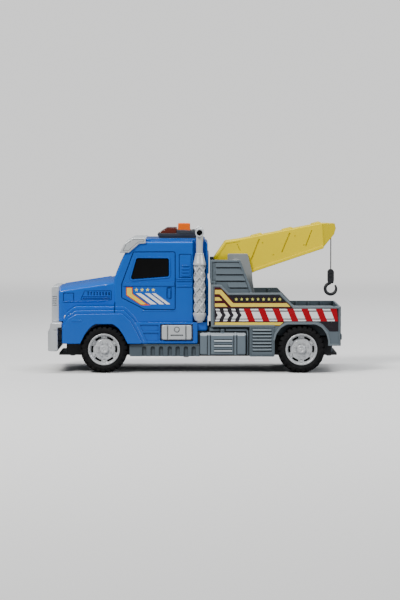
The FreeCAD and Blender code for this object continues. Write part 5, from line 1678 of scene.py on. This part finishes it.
def make_floor():
    """A flat disc of rings, in metres."""
    bm = bmesh.new()
    centre = bm.verts.new((0.0, 0.0, 0.0))
    inner = None
    for radius in FLOOR_RADII:
        row = [bm.verts.new((x, y, 0.0)) for x, y in circle(0, 0, radius, FLOOR_SIDES)]
        for k in range(FLOOR_SIDES):
            j = (k + 1) % FLOOR_SIDES
            if inner is None:
                bm.faces.new((centre, row[k], row[j]))
            else:
                bm.faces.new((inner[k], row[k], row[j], inner[j]))
        inner = row
    disc = solid(bm)
    disc.name = disc.data.name = "studio_floor"
    # an open sheet may come out facing down
    if disc.data.polygons[0].normal.z < 0:
        disc.data.flip_normals()
    return disc


def backdrop_material():
    """Pale to the camera, but sends less light back up at the truck; glows far out."""
    material = bpy.data.materials.new("backdrop")
    material.use_nodes = True
    tree = material.node_tree
    shader = tree.nodes["Principled BSDF"]
    noise = add_node(tree, "TexNoise", {"Scale": 2.0}).outputs[0]
    pale = mix_colours(tree, noise, linear(236, 236, 235), linear(241, 241, 240))
    to_camera = add_node(tree, "LightPath").outputs["Is Camera Ray"]
    colour = mix_colours(tree, to_camera, (NEAR_BOUNCE,) * 3 + (1,), pale)
    tree.links.new(colour, shader.inputs["Base Color"])
    shader.inputs["Roughness"].default_value = 0.85
    shader.inputs["Specular IOR Level"].default_value = 0.1
    place = add_node(tree, "TexCoord").outputs["Object"]
    distance = add_node(tree, "VectorMath", {0: place}, operation="LENGTH").outputs["Value"]
    fade = map_range(tree, distance, source=FLOOR_FADE, interpolation_type="SMOOTHSTEP")
    strength = add_node(tree, "Math", {0: to_camera, 1: PALE - FAR_GLOW, 2: FAR_GLOW},
                        operation="MULTIPLY_ADD").outputs[0]
    glow = add_node(tree, "Emission", {0: WARM_WHITE, 1: strength}).outputs[0]
    mixed = add_node(tree, "MixShader", {0: fade, 1: shader.outputs[0], 2: glow}).outputs[0]
    tree.links.new(mixed, tree.nodes["Material Output"].inputs[0])
    return material


floor = make_floor()
paint(floor, backdrop_material())

# ---------------------------------------------------------------- lights and world
LIGHT_TARGET = Vector((0.0, 0.0, 0.07))


def area_light(name, place, *, width, energy, height=None, colour=(1, 1, 1)):
    """A rectangular light aimed at the truck; square unless a height is given."""
    light = bpy.data.lights.new(name, "AREA")
    light.energy = energy
    light.color = colour
    light.shape = "RECTANGLE"
    light.size = width
    light.size_y = height or width
    ob = bpy.data.objects.new(name, light)
    ob.location = place
    ob.rotation_euler = (LIGHT_TARGET - Vector(place)).to_track_quat("-Z", "Y").to_euler()
    bpy.context.scene.collection.objects.link(ob)
    return ob


lights = [
    area_light("key", (-0.85, -1.05, 1.35), width=0.5, energy=30.0, colour=(1.0, 0.985, 0.96)),
    area_light("fill", (1.25, -0.95, 0.75), width=0.8, energy=9.0, colour=(0.95, 0.97, 1.0)),
    area_light("top", (0.0, 0.0, 1.45), width=1.6, height=0.36, energy=17.5),
    area_light("rim", (0.6, 1.2, 0.9), width=0.7, energy=8.0)]

# a dim blue sky for the light, a pale backdrop for the camera
world = bpy.data.worlds.new("studio")
world.use_nodes = True
tree = world.node_tree
sky = tree.nodes["Background"]
sky.inputs[0].default_value = (0.80, 0.86, 0.95, 1)
sky.inputs[1].default_value = 0.20
backdrop = add_node(tree, "Background", {0: WARM_WHITE, 1: PALE})
to_camera = add_node(tree, "LightPath").outputs["Is Camera Ray"]
mixed = add_node(tree, "MixShader", {0: to_camera, 1: sky.outputs[0], 2: backdrop.outputs[0]})
tree.links.new(mixed.outputs[0], tree.nodes["World Output"].inputs[0])
bpy.context.scene.world = world

# ---------------------------------------------------------------- camera
CAMERA_DISTANCE = 2.2                   # metres
CAMERA_ELEVATION = math.radians(3.5)
CAMERA_AIM = Vector((6.3, -50.0, 80.3)) * MM

lens_data = bpy.data.cameras.new("camera")
lens_data.sensor_fit = "HORIZONTAL"
lens_data.sensor_width = 36.0
lens_data.lens = 180.0
camera = bpy.data.objects.new("camera", lens_data)
bpy.context.scene.collection.objects.link(camera)
# it looks at the left side from a little above
away = Vector((0, -math.cos(CAMERA_ELEVATION), math.sin(CAMERA_ELEVATION)))
camera.location = CAMERA_AIM + away * CAMERA_DISTANCE
camera.rotation_euler = (CAMERA_AIM - camera.location).to_track_quat("-Z", "Y").to_euler()
bpy.context.scene.camera = camera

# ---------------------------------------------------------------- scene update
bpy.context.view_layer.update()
